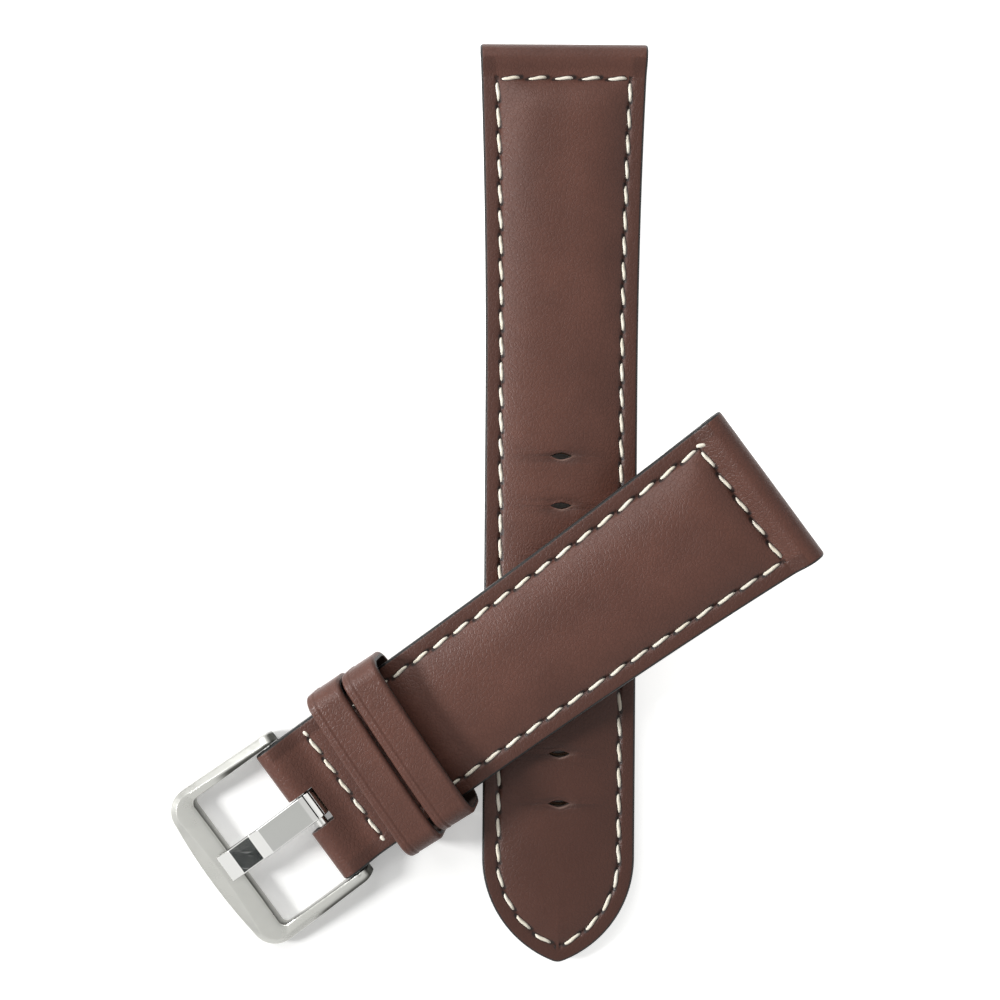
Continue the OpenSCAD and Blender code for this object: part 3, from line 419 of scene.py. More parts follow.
# Places across a half, one row for each d: fixed near the middle, and lines that follow the
# outline near the edge, so that the seam has columns of its own.
def acrossColumns(d, centre, isLong, midCount=8):
    wide = (longWide if isLong else halfWide)(d)
    edge = []
    for e in edgeSteps:
        line = longWide(d, e) if isLong else wide - e
        edge.append(np.maximum(line, wide * (1 - e / 4.2)))
    edge = np.stack(edge, -1)
    inmost = edge[:, :1]
    shrink = np.minimum(1, inmost / 3.2)
    middle = shrink * centre[None, :]
    share = np.arange(1, midCount)[None, :] / midCount
    mid = middle[:, -1:] + (inmost - middle[:, -1:]) * share
    right = np.concatenate([middle, mid, edge], 1)
    return np.concatenate([-right[:, :0:-1], right], 1)


# Adds the side walls. Outside, each wall goes down to low; inside, the columns follow the lip.
def wallColumns(outer, inner, x, low, lipped, wallSteps=3):
    s = strap
    share = np.arange(1, wallSteps + 1) / wallSteps
    parts = []
    for edgeColumn, sign in ((0, -1.0), (-1, 1.0)):
        top = outer[:, edgeColumn]
        bottom = low[edgeColumn]
        wall = top[:, None] + (bottom - top)[:, None] * share[None, :, None]
        inTop = inner[:, edgeColumn]
        down = (share * lipped[:, None])[..., None]
        inWall = inTop[:, None] + (bottom - inTop)[:, None] * down * 0.96
        back = s["lip"] * np.maximum(lipped[:, None], (1 - share)[None, :] * (1 - lipped[:, None]))
        edgeX = x[:, edgeColumn][:, None]
        inWall[..., 0] = edgeX - sign * np.minimum(back, np.abs(edgeX))
        parts.append((wall, inWall))
    (leftWall, leftIn), (rightWall, rightIn) = parts
    outer = np.concatenate([leftWall[:, ::-1], outer, rightWall], 1)
    inner = np.concatenate([leftIn[:, ::-1], inner, rightIn], 1)
    return outer, inner


# Angles of the rows round a tunnel, from underneath round the end to the top.
def eyeRows(steps=24):
    return np.radians(np.linspace(-90, 90, steps + 1))


# Rows of the cover's grid, closest at stitches and tunnels: flap and lugTop are distances from the lug
# end, foldTop and foldUnder from the folded end, noseTurns degrees round the tip's nose.
coverRows = dict(
    flap=[8.5, 8.44, 8.3, 7.9, 7.4, 6.9, 6.4, 5.9, 5.45, 5.1, 4.9, 4.65, 4.4, 4.2, 4.02, 3.95,
          3.7, 3.35, 3.0, 2.9, 2.7, 2.5, 2.25],
    lugTop=[2.25, 2.5, 2.7, 2.87, 3.0, 3.25, 3.5, 3.75, 3.95, 4.02, 4.2, 4.35, 4.45, 4.55, 4.65,
            4.75, 4.87, 5.0, 5.2, 5.5],
    foldTop=[10.0, 9.6, 9.2, 8.8, 8.4, 8.1, 7.85, 7.65, 7.5, 7.35, 7.2, 7.05, 6.9, 6.6, 6.2, 5.8,
             5.4, 5.0, 4.6, 4.3, 4.12, 4.05, 3.98, 3.86, 3.8, 3.5, 3.2, 2.9, 2.7, 2.45, 2.2],
    foldUnder=[2.2, 2.45, 2.7, 2.9, 3.2, 3.5, 3.8, 3.86, 3.98, 4.05, 4.12, 4.4, 4.9, 5.5, 6.2,
               6.8, 7.1, 7.35, 7.6, 7.9, 8.3, 8.75, 8.95, 9.05],
    noseTurns=[72.0, 76.0, 80.0, 83.5, 86.5], bodyFrom=5.85, bodyTo=10.2, step=0.41, arcRows=42,
)


# Top leather of a half as one skin: flap underneath, turned round the tunnel, then the top. The
# short half goes on round the spring bar and back underneath.
def buildCover(isLong, name, place, body, material, replaced):
    s = strap
    centre = centreLong if isLong else centreShort
    length = longHalf["length"] if isLong else shortHalf["length"]
    # Distances, or angles round a tunnel. Kinds: 0 flap, 1 turn, 2 top, 3 fold's turn, 4 under it
    plan = coverRows
    if isLong:
        sideRows = np.arange(plan["bodyFrom"], longHalf["tipStart"], plan["step"])
        turns = np.linspace(0, longHalf["noseTurn"], plan["arcRows"])
        arc = longHalf["tipStart"] + longHalf["tipR"] * np.sin(turns)
        nose = length - longHalf["noseR"] * (1 - np.sin(np.radians(plan["noseTurns"])))
        topD, slitRows = addHoleRows(np.concatenate([plan["lugTop"], sideRows, arc, nose]), plan["step"])
        parts = [plan["flap"], eyeRows(), topD]
    else:
        sideRows = np.arange(plan["bodyFrom"], length - plan["bodyTo"], plan["step"])
        topD = np.concatenate([plan["lugTop"], sideRows, length - np.array(plan["foldTop"])])
        slitRows = []
        parts = [plan["flap"], eyeRows(), topD, eyeRows()[::-1], length - np.array(plan["foldUnder"])]
    kinds = np.repeat(np.arange(len(parts)), [len(part) for part in parts])
    along = np.concatenate(parts)
    isFlap, isTurn, isTop = kinds == 0, kinds == 1, kinds == 2
    isFold, isUnder = kinds == 3, kinds == 4
    rowD = along.copy()
    rowD[isTurn] = s["eyeR"] * (1 - np.cos(along[isTurn]))
    rowD[isFold] = length - s["foldR"] * (1 - np.cos(along[isFold]))
    x = acrossColumns(rowD, centre, isLong)
    d = np.repeat(rowD[:, None], x.shape[1], 1)
    first = int(np.argmax(isTop))
    if isLong:
        d[isTop] = openHoles(d[isTop], x[isTop], slitRows)
    top, depth, seam, near = topOf(x, d, isLong)
    drop = rimDrop(depth)
    under = groove(x, d, isLong)
    wrapD, wrapZ = d.copy(), np.zeros(d.shape)
    inD, inZ = d.copy(), np.zeros(d.shape)
    t = length - d
    # top rows
    wrapZ = np.where(isTop[:, None], top - drop, wrapZ)
    backLug, backFold = s["eyeR"] + s["tunnelR"], s["foldR"] + s["barHoleR"]
    shutLug, shutFold = s["eyeR"] + s["shutLug"], s["foldR"] + s["shutFold"]
    bore = lambda q, r, sign, mid: mid + sign * np.sqrt(np.maximum(0, r * r - (q - mid) ** 2))
    high = top - s["cover"]
    high = np.where(d < shutLug, s["eyeR"] + s["shutGap"], high)
    high = np.where(d < backLug, bore(d, s["tunnelR"], 1, s["eyeR"]), high)
    if not isLong:
        high = np.where(t < shutFold, s["foldR"] + s["shutGap"], high)
        high = np.where(t < backFold, bore(t, s["barHoleR"], 1, s["foldR"]), high)
    if isLong:
        high = np.where(depth < s["lip"], s["lipLow"], high)
    inZ = np.where(isTop[:, None], high, inZ)
    # flap rows, underneath
    low = np.where(d < shutLug, s["eyeR"] - s["shutGap"], s["lining"])
    low = np.where(d < backLug, bore(d, s["tunnelR"], -1, s["eyeR"]), low)
    rim = 0.45 * drop
    wrapZ = np.where(isFlap[:, None], under + rim, wrapZ)
    inZ = np.where(isFlap[:, None], low, inZ)
    if not isLong:
        low = np.where(t < shutFold, s["foldR"] - s["shutGap"], s["lining"])
        low = np.where(t < backFold, bore(t, s["barHoleR"], -1, s["foldR"]), low)
        wrapZ = np.where(isUnder[:, None], under + rim, wrapZ)
        inZ = np.where(isUnder[:, None], low, inZ)
    # turned rows, round the tunnels
    a = along[:, None]
    r = s["eyeR"] - drop
    wrapD = np.where(isTurn[:, None], s["eyeR"] - r * np.cos(a), wrapD)
    wrapZ = np.where(isTurn[:, None], s["eyeR"] + r * np.sin(a), wrapZ)
    inD = np.where(isTurn[:, None], s["eyeR"] - s["tunnelR"] * np.cos(a), inD)
    inZ = np.where(isTurn[:, None], s["eyeR"] + s["tunnelR"] * np.sin(a), inZ)
    r = s["foldR"] - drop
    wrapD = np.where(isFold[:, None], length - s["foldR"] + r * np.cos(a), wrapD)
    wrapZ = np.where(isFold[:, None], s["foldR"] + r * np.sin(a), wrapZ)
    inD = np.where(isFold[:, None], length - s["foldR"] + s["barHoleR"] * np.cos(a), inD)
    inZ = np.where(isFold[:, None], s["foldR"] + s["barHoleR"] * np.sin(a), inZ)
    outer = np.stack([x, s["eyeR"] - wrapD, wrapZ], -1)
    inner = np.stack([x, s["eyeR"] - inD, inZ], -1)
    inner[..., 0] = np.sign(x) * np.minimum(np.abs(x), np.abs(x[:, -1:]))
    # side walls: down to the lining on the body, across the leather elsewhere
    lipped = (isTop & (rowD > shutLug)).astype(float)
    if not isLong:
        lipped = lipped * (length - rowD > shutFold)
    bottoms = {}
    for column in (0, -1):
        foot = inner[:, column].copy()
        foot += 0.03 * (outer[:, column] - foot)
        foot[:, 0] = x[:, column]
        foot[:, 2] = np.where(lipped > 0, s["lipLow"], foot[:, 2])
        bottoms[column] = foot
    outer, inner = wallColumns(outer, inner, x, bottoms, lipped)
    rows, cols = outer.shape[:2]
    walls = (cols - x.shape[1]) // 2
    keep = np.ones((rows - 1, cols - 1), bool)
    slits = []
    middle = cols // 2
    if isLong:
        reach = int(np.argmin(np.abs(centre - holes["halfLen"])))
        slits = [(first + row, middle - reach, middle + reach) for row, _ in slitRows]
    else:
        reach = int(np.argmin(np.abs(centre - shortHalf["notchHalf"])))
        inNotch = (length - rowD) < shortHalf["notchLen"] + 0.001
        cell = inNotch[:-1] & inNotch[1:]
        keep[np.ix_(cell, np.arange(middle - reach, middle + reach))] = False
    gaps = np.hypot(*np.diff(np.stack([outer[:, middle, 1], outer[:, middle, 2]]), axis=1))
    run = np.concatenate([[0], np.cumsum(gaps)])
    uv = np.stack([outer[..., 0], np.repeat(run[:, None], cols, 1)], -1) * 0.001
    points, faces, used = layered(place(outer), place(inner), keep, slits)
    uv = np.concatenate([uv.reshape(-1, 2)] * 2)[used]
    inside = (used >= rows * cols).astype(float)
    onTop, outside = isTop[:, None], 1 - inside
    paint = np.clip(1 - (depth - s["paintFrom"]) / s["paintFade"], 0, 1)
    # Painted shade on the margins: their colour is darkened along the edges.
    margin = np.clip(1 - (depth - s["marginShadeFrom"]) / s["marginShadeFade"], 0, 1) * onTop

    # One value for each point of both layers; the side walls get atWall.
    def markOf(values, atWall=0.0):
        padded = np.pad(values, ((0, 0), (walls, walls)), constant_values=atWall)
        return np.concatenate([padded.reshape(-1)] * 2)[used]

    marks = dict(edgePaint=markOf(paint, 1.0) * outside,
                 seamOff=markOf(seam["seamOff"]), seamRun=markOf(seam["seamRun"]),
                 seamShadeMask=markOf(seam["seamShadeMask"] * onTop) * outside,
                 holeNear=markOf(near * onTop) * outside, rawSide=inside,
                 marginShade=markOf(margin, 1.0) * outside,
                 holeLipHighlight=markOf(seam["holeLipHighlight"] * onTop) * outside)
    return makePiece(name, points, [faces], body, material, replaced, uv, marks, sharp=42)


# Lining leather: a flat sheet with a crease underneath for the bottom stitches.
def buildLining(isLong, name, place, body, material, replaced):
    s = strap
    centre = centreLong if isLong else centreShort
    start = s["lugFlap"] + 0.1
    if isLong:
        h, step = longHalf, 0.6
        sides = np.arange(start, h["tipStart"] - step / 2, step)
        arc = h["tipStart"] + h["tipR"] * np.sin(np.linspace(0, h["noseTurn"], 34))
        nose = h["length"] - h["noseR"] * (1 - np.sin(np.radians([73.0, 79.0, 85.0])))
        d, slitRows = addHoleRows(np.concatenate([sides, arc, nose]), step)
    else:
        d, slitRows = np.linspace(start, shortHalf["length"] - s["foldFlap"] - 0.1, 96), []
    count = len(d)
    slits = []
    x = acrossColumns(d, centre, isLong) * 0.995
    middle = x.shape[1] // 2
    reach = int(np.argmin(np.abs(centre - holes["halfLen"])))
    d = np.repeat(d[:, None], x.shape[1], 1)
    if isLong:
        d = openHoles(d, x, slitRows, 0.8)
        slits = [(count - 2 - row, middle - reach, middle + reach) for row, _ in slitRows]
    depth = (longDepth if isLong else shortDepth)(x, d)
    rim = 0.16 * np.clip(1 - depth / 0.22, 0, 1) ** 2
    outer = np.stack([x, s["eyeR"] - d, groove(x, d, isLong) + rim], -1)[::-1]
    inner = np.stack([x, s["eyeR"] - d, np.full(x.shape, s["lining"])], -1)[::-1]
    keep = np.ones((count - 1, x.shape[1] - 1), bool)
    points, faces, used = layered(place(outer), place(inner), keep, slits)
    paint = np.clip(1 - (depth - 0.06) / 0.1, 0, 1)[::-1]
    both = np.concatenate([paint.reshape(-1)] * 2)[used]
    uv = np.concatenate([np.stack([x, d], -1)[::-1].reshape(-1, 2)] * 2)[used] * 0.001
    makePiece(name, points, [faces], body, material, replaced, uv,
              dict(edgePaint=both), sharp=50)


# Stitches as spindles of two-ply thread: an arch along X whose ends dive into the leather, its
# round section bulging twice a turn, the bulges winding along it.
def stitchPoints(places, angles, lengths, sag, flip):
    t = stitches
    u = np.linspace(-1, 1, t["along"])
    u = np.sign(u) * np.abs(u) ** 0.8
    v = np.linspace(0, 2 * np.pi, t["around"], endpoint=False)
    half = lengths[:, None, None] / 2
    radius = t["thick"] / 2 * (1 - 0.5 * np.abs(u) ** 6)[None, :, None]
    wind = 2 * (v[None, None, :] - 2 * np.pi * half * u[None, :, None] / (2 * t["twistPitch"]))
    radius = radius * (0.97 + 0.1 * np.cos(wind))
    along = half * u[None, :, None] + 0 * v
    side = radius * np.cos(v)[None, None, :]
    up = radius * np.sin(v)[None, None, :] - sag * (np.abs(u) ** 3.2)[None, :, None]
    if flip:
        up = -up
    c, s = np.cos(angles)[:, None, None], np.sin(angles)[:, None, None]
    x = places[:, 0, None, None] + along * c - side * s
    y = places[:, 1, None, None] + along * s + side * c
    z = places[:, 2, None, None] + up
    points = np.stack([x, y, z], -1)
    uv = np.stack([along + 0 * side, np.broadcast_to(v / (2 * np.pi), along.shape)], -1)
    return points, uv


def threadPiece(name, runs, place, body, material, replaced, low=False):
    t = stitches
    places = np.concatenate([np.asarray(r[0], float) for r in runs])
    angles = np.radians(np.concatenate([np.asarray(r[1], float) for r in runs]))
    lengths = np.concatenate([np.asarray(r[2], float) for r in runs])
    rng = np.random.default_rng(len(places))
    angles = angles + np.radians(rng.normal(0, t["turnSpread"], len(places)))
    lengths = lengths * rng.normal(1.0, t["lengthSpread"], len(places))
    points, uv = stitchPoints(places, angles, lengths, t["lowSag"] if low else t["sag"], low)
    n, a, b = points.shape[:3]
    ring = np.arange(n * a * b).reshape(n, a, b)
    turned = np.roll(ring, -1, 2)
    quads = np.stack([ring[:, :-1], turned[:, :-1], turned[:, 1:], ring[:, 1:]], -1).reshape(-1, 4)
    caps = np.concatenate([ring[:, 0, ::-1], ring[:, -1]])
    if low:
        quads, caps = quads[:, ::-1], caps[:, ::-1]
    faces = [quads[:, ::-1], caps]
    makePiece(name, place(points), faces, body, material, replaced, uv * 0.001, sharp=75)


# Height of a row's thread: sunk a little into the margin's top, or just over the bench underneath.
def threadHigh(marginTop, low):
    t = stitches
    return t["thick"] / 2 + t["lowGap"] + 0 * marginTop if low else marginTop - t["sink"] + t["lift"]


# Places of the stitches: both sides, round the tip, and the row across behind the lugs.
def seamRuns(isLong, low):
    s, t, h = strap, stitches, longHalf
    slant = 0 if low else t["slant"]
    length, count = sideSeam(isLong)
    run = (np.arange(count) + 0.5) * length / count
    d = s["lugStitch"] + run
    seamX = halfWide(d) - s["inset"]
    lean = 90 + np.degrees(np.arctan(np.gradient(seamX, d)))
    if isLong:
        seamR = h["tipR"] - s["inset"]
        a = (run - (h["tipStart"] - s["lugStitch"])) / seamR
        onTip = a > 0
        seamX = np.where(onTip, h["tipSideX"] + seamR * np.cos(a), seamX)
        d = np.where(onTip, h["tipStart"] + seamR * np.sin(a), d)
        lean = np.where(onTip, 90 - np.degrees(a), lean)
    high = threadHigh(lugEdge(d), low)
    runs = []
    for side in (1, -1):
        angle = lean if side > 0 else 180 - lean
        runs.append((np.stack([side * seamX, s["eyeR"] - d, high], -1), angle + slant,
                     np.full(count, t["length"])))
    wide = halfWide(np.array(s["lugStitch"])) - s["inset"]
    n = t["lugCount"]
    x = (np.arange(n) + 0.5) * 2 * wide / n - wide
    high = threadHigh(s["lugMarginH"], low)
    row = np.stack([x, np.full(n, s["eyeR"] - s["lugStitch"]), np.full(n, high)], -1)
    runs.append((row, np.full(n, float(slant) * 1.4), np.full(n, t["length"])))
    if not low and not isLong:
        knot = np.array([[-wide - 0.15, s["eyeR"] - s["lugStitch"] + 0.35, high + 0.12]])
        runs.append((knot, np.array([t["knotTurn"]]), np.array([t["knotLen"]])))
    return runs


# Row behind the buckle: five stitches, and on top a short back-stitch at each end.
def foldRuns(low):
    s, t = strap, stitches
    n, half = t["foldCount"], t["foldHalf"]
    x = (np.arange(n) + 0.5) * 2 * half / n - half
    size = np.full(n, t["length"] * t["foldShare"])
    high = threadHigh(s["marginH"], low)
    if not low:
        x = np.concatenate([x, [-half - t["backOff"][0], half + t["backOff"][1]]])
        size = np.concatenate([size, t["backLen"]])
    y = s["eyeR"] - shortHalf["length"] + s["foldStitch"]
    row = np.stack([x, np.full(len(x), y), np.full(len(x), high)], -1)
    return [(row, np.full(len(x), 0.0 if low else float(t["slant"])), size)]


# Closed line round a rounded box, domed on top: points [x, z] and outward directions.
def keeperPath(half, low, high, count=34, cornerSteps=14):
    k = keeper
    corner = lambda cx, cz, r, start: np.stack([
        cx + r * np.cos(a := np.radians(np.linspace(start, start + 90, cornerSteps))),
        cz + r * np.sin(a), np.cos(a), np.sin(a)], -1)
    flat = np.linspace(-(half - k["lowR"]), half - k["lowR"], count)[1:-1]
    bottom = np.stack([flat, np.full(len(flat), low), 0 * flat, -1 + 0 * flat], -1)
    q = np.linspace(1, -1, count)[1:-1]
    topX = (half - k["topR"]) * q
    rise = k["dome"] * (1 - q * q)
    nx = 2 * k["dome"] * q / (half - k["topR"])
    length = np.hypot(nx, 1)
    top = np.stack([topX, high + rise, nx / length, 1 / length], -1)
    side = np.linspace(0, 1, 6)[1:-1]
    z0, z1 = low + k["lowR"], high - k["topR"]
    right = np.stack([half + 0 * side, z0 + (z1 - z0) * side, 1 + 0 * side, 0 * side], -1)
    left = np.stack([-half + 0 * side, z1 - (z1 - z0) * side, -1 + 0 * side, 0 * side], -1)
    return np.concatenate([
        bottom, corner(half - k["lowR"], z0, k["lowR"], -90), right,
        corner(half - k["topR"], z1, k["topR"], 0), top,
        corner(k["topR"] - half, z1, k["topR"], 90), left,
        corner(k["lowR"] - half, z0, k["lowR"], 180)])


# A strip of leather carried round the path. Its section, across the strip: turned edges, a raised
# line beside the buckle's edge, and a slightly hollow middle.
def keeperPiece(name, at, half, low, high, body, material, replaced, seed):
    k = keeper
    path = keeperPath(half, low, high)
    n = len(path)
    v = np.concatenate([[-0.5, -0.5, -0.495, -0.48, -0.455], np.linspace(-0.43, 0.43, 37),
                        [0.455, 0.48, 0.495, 0.5, 0.5]])
    roundEdge = 1 - np.clip((np.abs(v) - 0.4) / 0.1, 0, 1) ** 2
    share = 0.42 + 0.58 * np.sqrt(np.maximum(0, roundEdge))
    share[[0, -1]] = 0.1
    share = share - k["hollow"] * (1 - (v / 0.5) ** 2)
    share = share + k["raised"] * np.exp(-((v + 0.3) / 0.03) ** 2)
    share = share - k["sunk"] * np.exp(-((v + 0.23) / 0.025) ** 2)
    back = np.linspace(0.47, -0.47, 7)
    across = np.concatenate([v, back])
    shares = np.concatenate([share, 0 * back])
    lapPly = k["lap"] + (k["thick"] - k["lap"]) * (1 + path[:, 3])
    ply = np.where(path[:, 3] < -0.05, lapPly, k["thick"])
    gaps = np.hypot(*np.diff(path[:, :2], axis=0).T)
    run = np.concatenate([[0], np.cumsum(gaps)])
    uneven = 0.018 * ripple(across[None, :] * 10, run[:, None] * 1.2, seed) * (shares > 0.3)
    out = ply[:, None] * shares[None, :] + uneven
    flare = 1 + k["flare"] * np.exp(-((np.abs(path[:, 0]) - half) / 1.2) ** 2) * (path[:, 3] > -0.2)
    x = path[:, 0, None] + path[:, 2, None] * out
    z = path[:, 1, None] + path[:, 3, None] * out
    y = across[None, :] * k["wide"] * flare[:, None]
    local = np.stack([x, y, z], -1)
    skew = math.radians(k["skew"])
    turned = np.stack([local[..., 0] * math.cos(skew) - local[..., 1] * math.sin(skew),
                       local[..., 0] * math.sin(skew) + local[..., 1] * math.cos(skew) + at
                       + k["wide"] / 2, local[..., 2] - strap["foldR"]], -1)
    points = onBar(turned, spot["strapTilt"])
    m = len(across)
    index = np.arange(n * m).reshape(n, m)
    index = np.concatenate([index, index[:1]], 0)
    index = np.concatenate([index, index[:, :1]], 1)
    quads = gridQuads(index)[:, ::-1]
    paint = np.where(np.abs(across) > 0.499, 0.6, 0.0)[None, :] + 0 * run[:, None]
    uv = np.stack([y, np.repeat(run[:, None], m, 1)], -1)
    inside = (shares < 0.05).astype(float)[None, :] + 0 * run[:, None]
    marks = {key: 0 * paint for key in ("seamOff", "seamRun", "seamShadeMask", "holeNear", "marginShade",
                                        "holeLipHighlight")}
    marks.update(edgePaint=paint, rawSide=inside)
    makePiece(name, points, [quads], body, material, replaced, uv * 0.001, marks,
              sharp=55)


# Right half of the frame's outline, [x, y], as its bowed front bar, an arc of a large circle, and
# the quarter circle of its corner.
def frameSide(count=9):
    f = frameShape
    x = (f["frontOut"] - f["cornerR"]) * np.linspace(0, 1, count)
    front = np.stack([x, f["frontY"] + f["bowR"] - np.sqrt(f["bowR"] ** 2 - x * x)], -1)
    a = np.radians(np.linspace(-90, 0, 19)[1:])
    corner = np.stack([f["frontOut"] - f["cornerR"] + f["cornerR"] * np.cos(a),
                       f["frontY"] + f["bow"] + f["cornerR"] + f["cornerR"] * np.sin(a)], -1)
    return front, corner


# Points of the frame's section, as shares of the outer slope and of the flat beside it, and their fall
# under the top: slopeFall in parts of the frame's own, flatFall in mm. A fall over lowMark puts a
# point on the walls or underneath, where lift is its share of the wall's height. The darkReflection
# values paint the inner wall, the upper arm's inside and the lower arm's outside dark, a painted dark
# reflection.
frameSection = dict(
    slope=[0.0, 0.0, 0.0, 0.012, 0.05, 0.12, 0.3, 0.6, 0.86, 0.95, 0.985, 1.0],
    slopeFall=[9, 9, 1.2, 1.06, 0.97, 0.88, 0.7, 0.4, 0.14, 0.055, 0.025, 0.012],
    flat=[0.05, 0.14, 0.4, 0.7, 0.86, 0.94, 0.98, 1.0, 1.0, 1.0, 0.96, 0.85, 0.5, 0.15],
    flatFall=[0.003, 0.0, 0.0, 0.004, 0.012, 0.03, 0.07, 0.16, 9, 9, 9, 9, 9, 9],
    lift=[0.03, 0.5] + [0] * 18 + [0.5, 0.04, 0.0, 0, 0, 0], lowMark=5, mostFall=0.62,
    darkReflectionWall=(1.0, 0.35, 0.1), darkReflectionInside=(0, 0.9, 1, 1, 1, 1, 1), darkReflectionOutside=(1, 1, 1, 1, 0.9, 0.2),
)


# The frame as one section carried round the U. At each station the section goes from the outer
# wall over the ridge to the inner wall and back underneath.
def buckleFrame(material):
    f, section = frameShape, frameSection
    # Outer line: front, corner, arm. Inner line: front, small corner, arm, with matching counts.
    front, corner = frameSide()
    armSteps = 40
    q = np.linspace(0, 1, armSteps + 1)[1:]
    startX, startY = corner[-1]
    endX = f["armOut"]
    outerArm = np.stack([startX + (endX - startX) * q, startY - startY * q], -1)
    outer = np.concatenate([front, corner, outerArm])
    inFront = np.stack([(f["armIn"] - f["innerR"]) * np.linspace(0, 1, len(front)),
                        np.full(len(front), -f["openLen"])], -1)
    a = np.radians(np.linspace(-90, 0, len(corner) + 1)[1:])
    inCorner = np.stack([f["armIn"] - f["innerR"] + f["innerR"] * np.cos(a),
                         -f["openLen"] + f["innerR"] + f["innerR"] * np.sin(a)], -1)
    inStartY = inCorner[-1, 1]
    inArm = np.stack([np.full(armSteps, f["armIn"]), inStartY - inStartY * q], -1)
    inner = np.concatenate([inFront, inCorner, inArm])
    # Round ends: beyond the spring bar both lines run on, and the heights close in a half circle
    endA = np.radians(np.linspace(0, 90, 13)[1:])
    endY = f["endR"] * np.sin(endA)
    outer = np.concatenate([outer, np.stack([endX - f["endTaper"] * (1 - np.cos(endA)), endY], -1)])
    inner = np.concatenate([inner, np.stack([np.full(12, f["armIn"]), endY], -1)])
    y = (outer[:, 1] + inner[:, 1]) / 2
    qArm = np.clip(1 + y / f["openLen"], 0, 1)
    topZ = f["up"] + f["arch"] * np.sin(np.pi * qArm) + (f["endR"] - f["up"]) * qArm ** 3
    lowZ = -f["down"] + f["arch"] * np.sin(np.pi * qArm) - (f["endR"] - f["down"]) * qArm ** 3
    beyond = np.clip(y / f["endR"], 0, 1)
    isEnd = y > 0
    topZ = np.where(isEnd, f["endR"] * np.sqrt(1 - beyond ** 2), topZ)
    lowZ = np.where(isEnd, -f["endR"] * np.sqrt(1 - beyond ** 2), lowZ)
    # The section runs over the outer slope to the ridge, over the flat top, down inside and back under
    slope, flat = np.array(section["slope"]), np.array(section["flat"])
    slopeFall, flatFall = np.array(section["slopeFall"]), np.array(section["flatFall"])
    lift = np.array(section["lift"])
    wide = np.linalg.norm(inner - outer, axis=1)
    bowed = np.clip(np.abs(outer[:, 0]) / (f["frontOut"] - f["cornerR"]), 0, 1)
    isFront = (outer[:, 1] < f["frontY"] + f["bow"] + 0.3).astype(float)
    ridge = f["ridgeArm"] + (f["ridgeFront"] - f["ridgeArm"]) * (1 - bowed ** 2) * isFront
    onFlat = ridge[:, None] + (wide - ridge)[:, None] * flat
    across = np.concatenate([ridge[:, None] * slope, onFlat], 1)
    m = across.shape[1]
    point = outer[:, None] + ((inner - outer) / wide[:, None])[:, None] * across[..., None]
    fall = np.concatenate([f["slopeFall"] * slopeFall, flatFall])
    span = (topZ - lowZ)[:, None]
    z = topZ[:, None] - np.minimum(fall, section["mostFall"] * span)
    wallTop = topZ - np.minimum(1.2 * f["slopeFall"], section["mostFall"] * span[:, 0])
    lowPoint = lowZ[:, None] + lift[None, :] * (wallTop - lowZ)[:, None]
    isLow = np.concatenate([slopeFall, flatFall]) > section["lowMark"]
    z = np.where(isLow[None, :], lowPoint, z)
    right = np.concatenate([point, z[..., None]], -1)
    left = right[::-1].copy()
    left[..., 0] *= -1
    whole = np.concatenate([left[:-1], right], 0)
    n = len(whole)
    points = onBar(whole, spot["frameTilt"])
    index = np.arange(n * m).reshape(n, m)
    ring = np.concatenate([index, index[:, :1]], 1)
    quads = gridQuads(ring)
    caps = np.stack([index[0], index[-1][::-1]])
    arc = np.concatenate([[0], np.cumsum(np.linalg.norm(np.diff(whole[:, 5], axis=0), axis=1))])
    around = np.concatenate([[0], np.cumsum(np.linalg.norm(np.diff(whole[n // 2], axis=0), axis=1))])
    uv = np.stack(np.broadcast_arrays(around[None, :], arc[:, None]), -1) * 0.001
    # Painted dark reflection: marks the inner wall, the upper arm's inside and the lower arm's outside
    # to be painted dark.
    darkReflection = np.zeros((n, m))
    darkReflection[:, 19:22] = section["darkReflectionWall"]
    onArm = ease((whole[:, 5, 1] + 9.0) / 3.0)[:, None]
    upper, lower = onArm * (whole[:, 5, :1] < 0), onArm * (whole[:, 5, :1] > 0)
    darkReflection[:, 13:20] = np.maximum(darkReflection[:, 13:20], upper * section["darkReflectionInside"])
    darkReflection[:, 2:8] = np.maximum(darkReflection[:, 2:8], lower * section["darkReflectionOutside"])
    # The arms' round ends get the painted dark reflection too.
    darkReflection = np.maximum(darkReflection, ease((whole[:, 5, 1] - 0.8) / 0.5)[:, None])
    makePiece("steelFrame", points, [quads, caps], "buckle", material,
              ("buckle_frame",), uv, dict(paintedDarkReflection=darkReflection), sharp=30)


# Rounds the corners of an open line: each becomes a short quadratic curve of the given reach, with
# one more point outside each end of it that keeps the flats flat.
def roundCorners(points, reach, steps=4):
    before, after = points[:-2] - points[1:-1], points[2:] - points[1:-1]
    lb, la = np.linalg.norm(before, axis=1), np.linalg.norm(after, axis=1)
    r = np.minimum(reach, np.minimum(lb, la) * 0.45)
    a = points[1:-1] + before / lb[:, None] * r[:, None]
    b = points[1:-1] + after / la[:, None] * r[:, None]
    q = np.linspace(0, 1, steps + 1)[None, :, None]
    curve = (1 - q) ** 2 * a[:, None] + 2 * q * (1 - q) * points[1:-1, None] + q * q * b[:, None]
    ways = before / lb[:, None], after / la[:, None]
    hold = [points[1:-1] + way * (1.09 * r)[:, None] for way in ways]
    curve = np.concatenate([hold[0][:, None], curve, hold[1][:, None]], 1)
    return np.concatenate([points[:1], curve.reshape(-1, 2), points[-1:]])


tongueShape = dict(wide=3.8, thick=0.9, rise=0.85, at=-0.45, barrelIn=0.85, rest=0.05, lap=1.5,
                   bendAt=0.55, kneeAt=0.68, kneeHigh=2.0, browHigh=2.12, noseHigh=1.4, browIn=0.6,
                   noseIn=0.1, slitFrom=0.32, slitTo=0.48, edgeR=0.16, leaveTurn=-59, leaveFlat=-0.425)


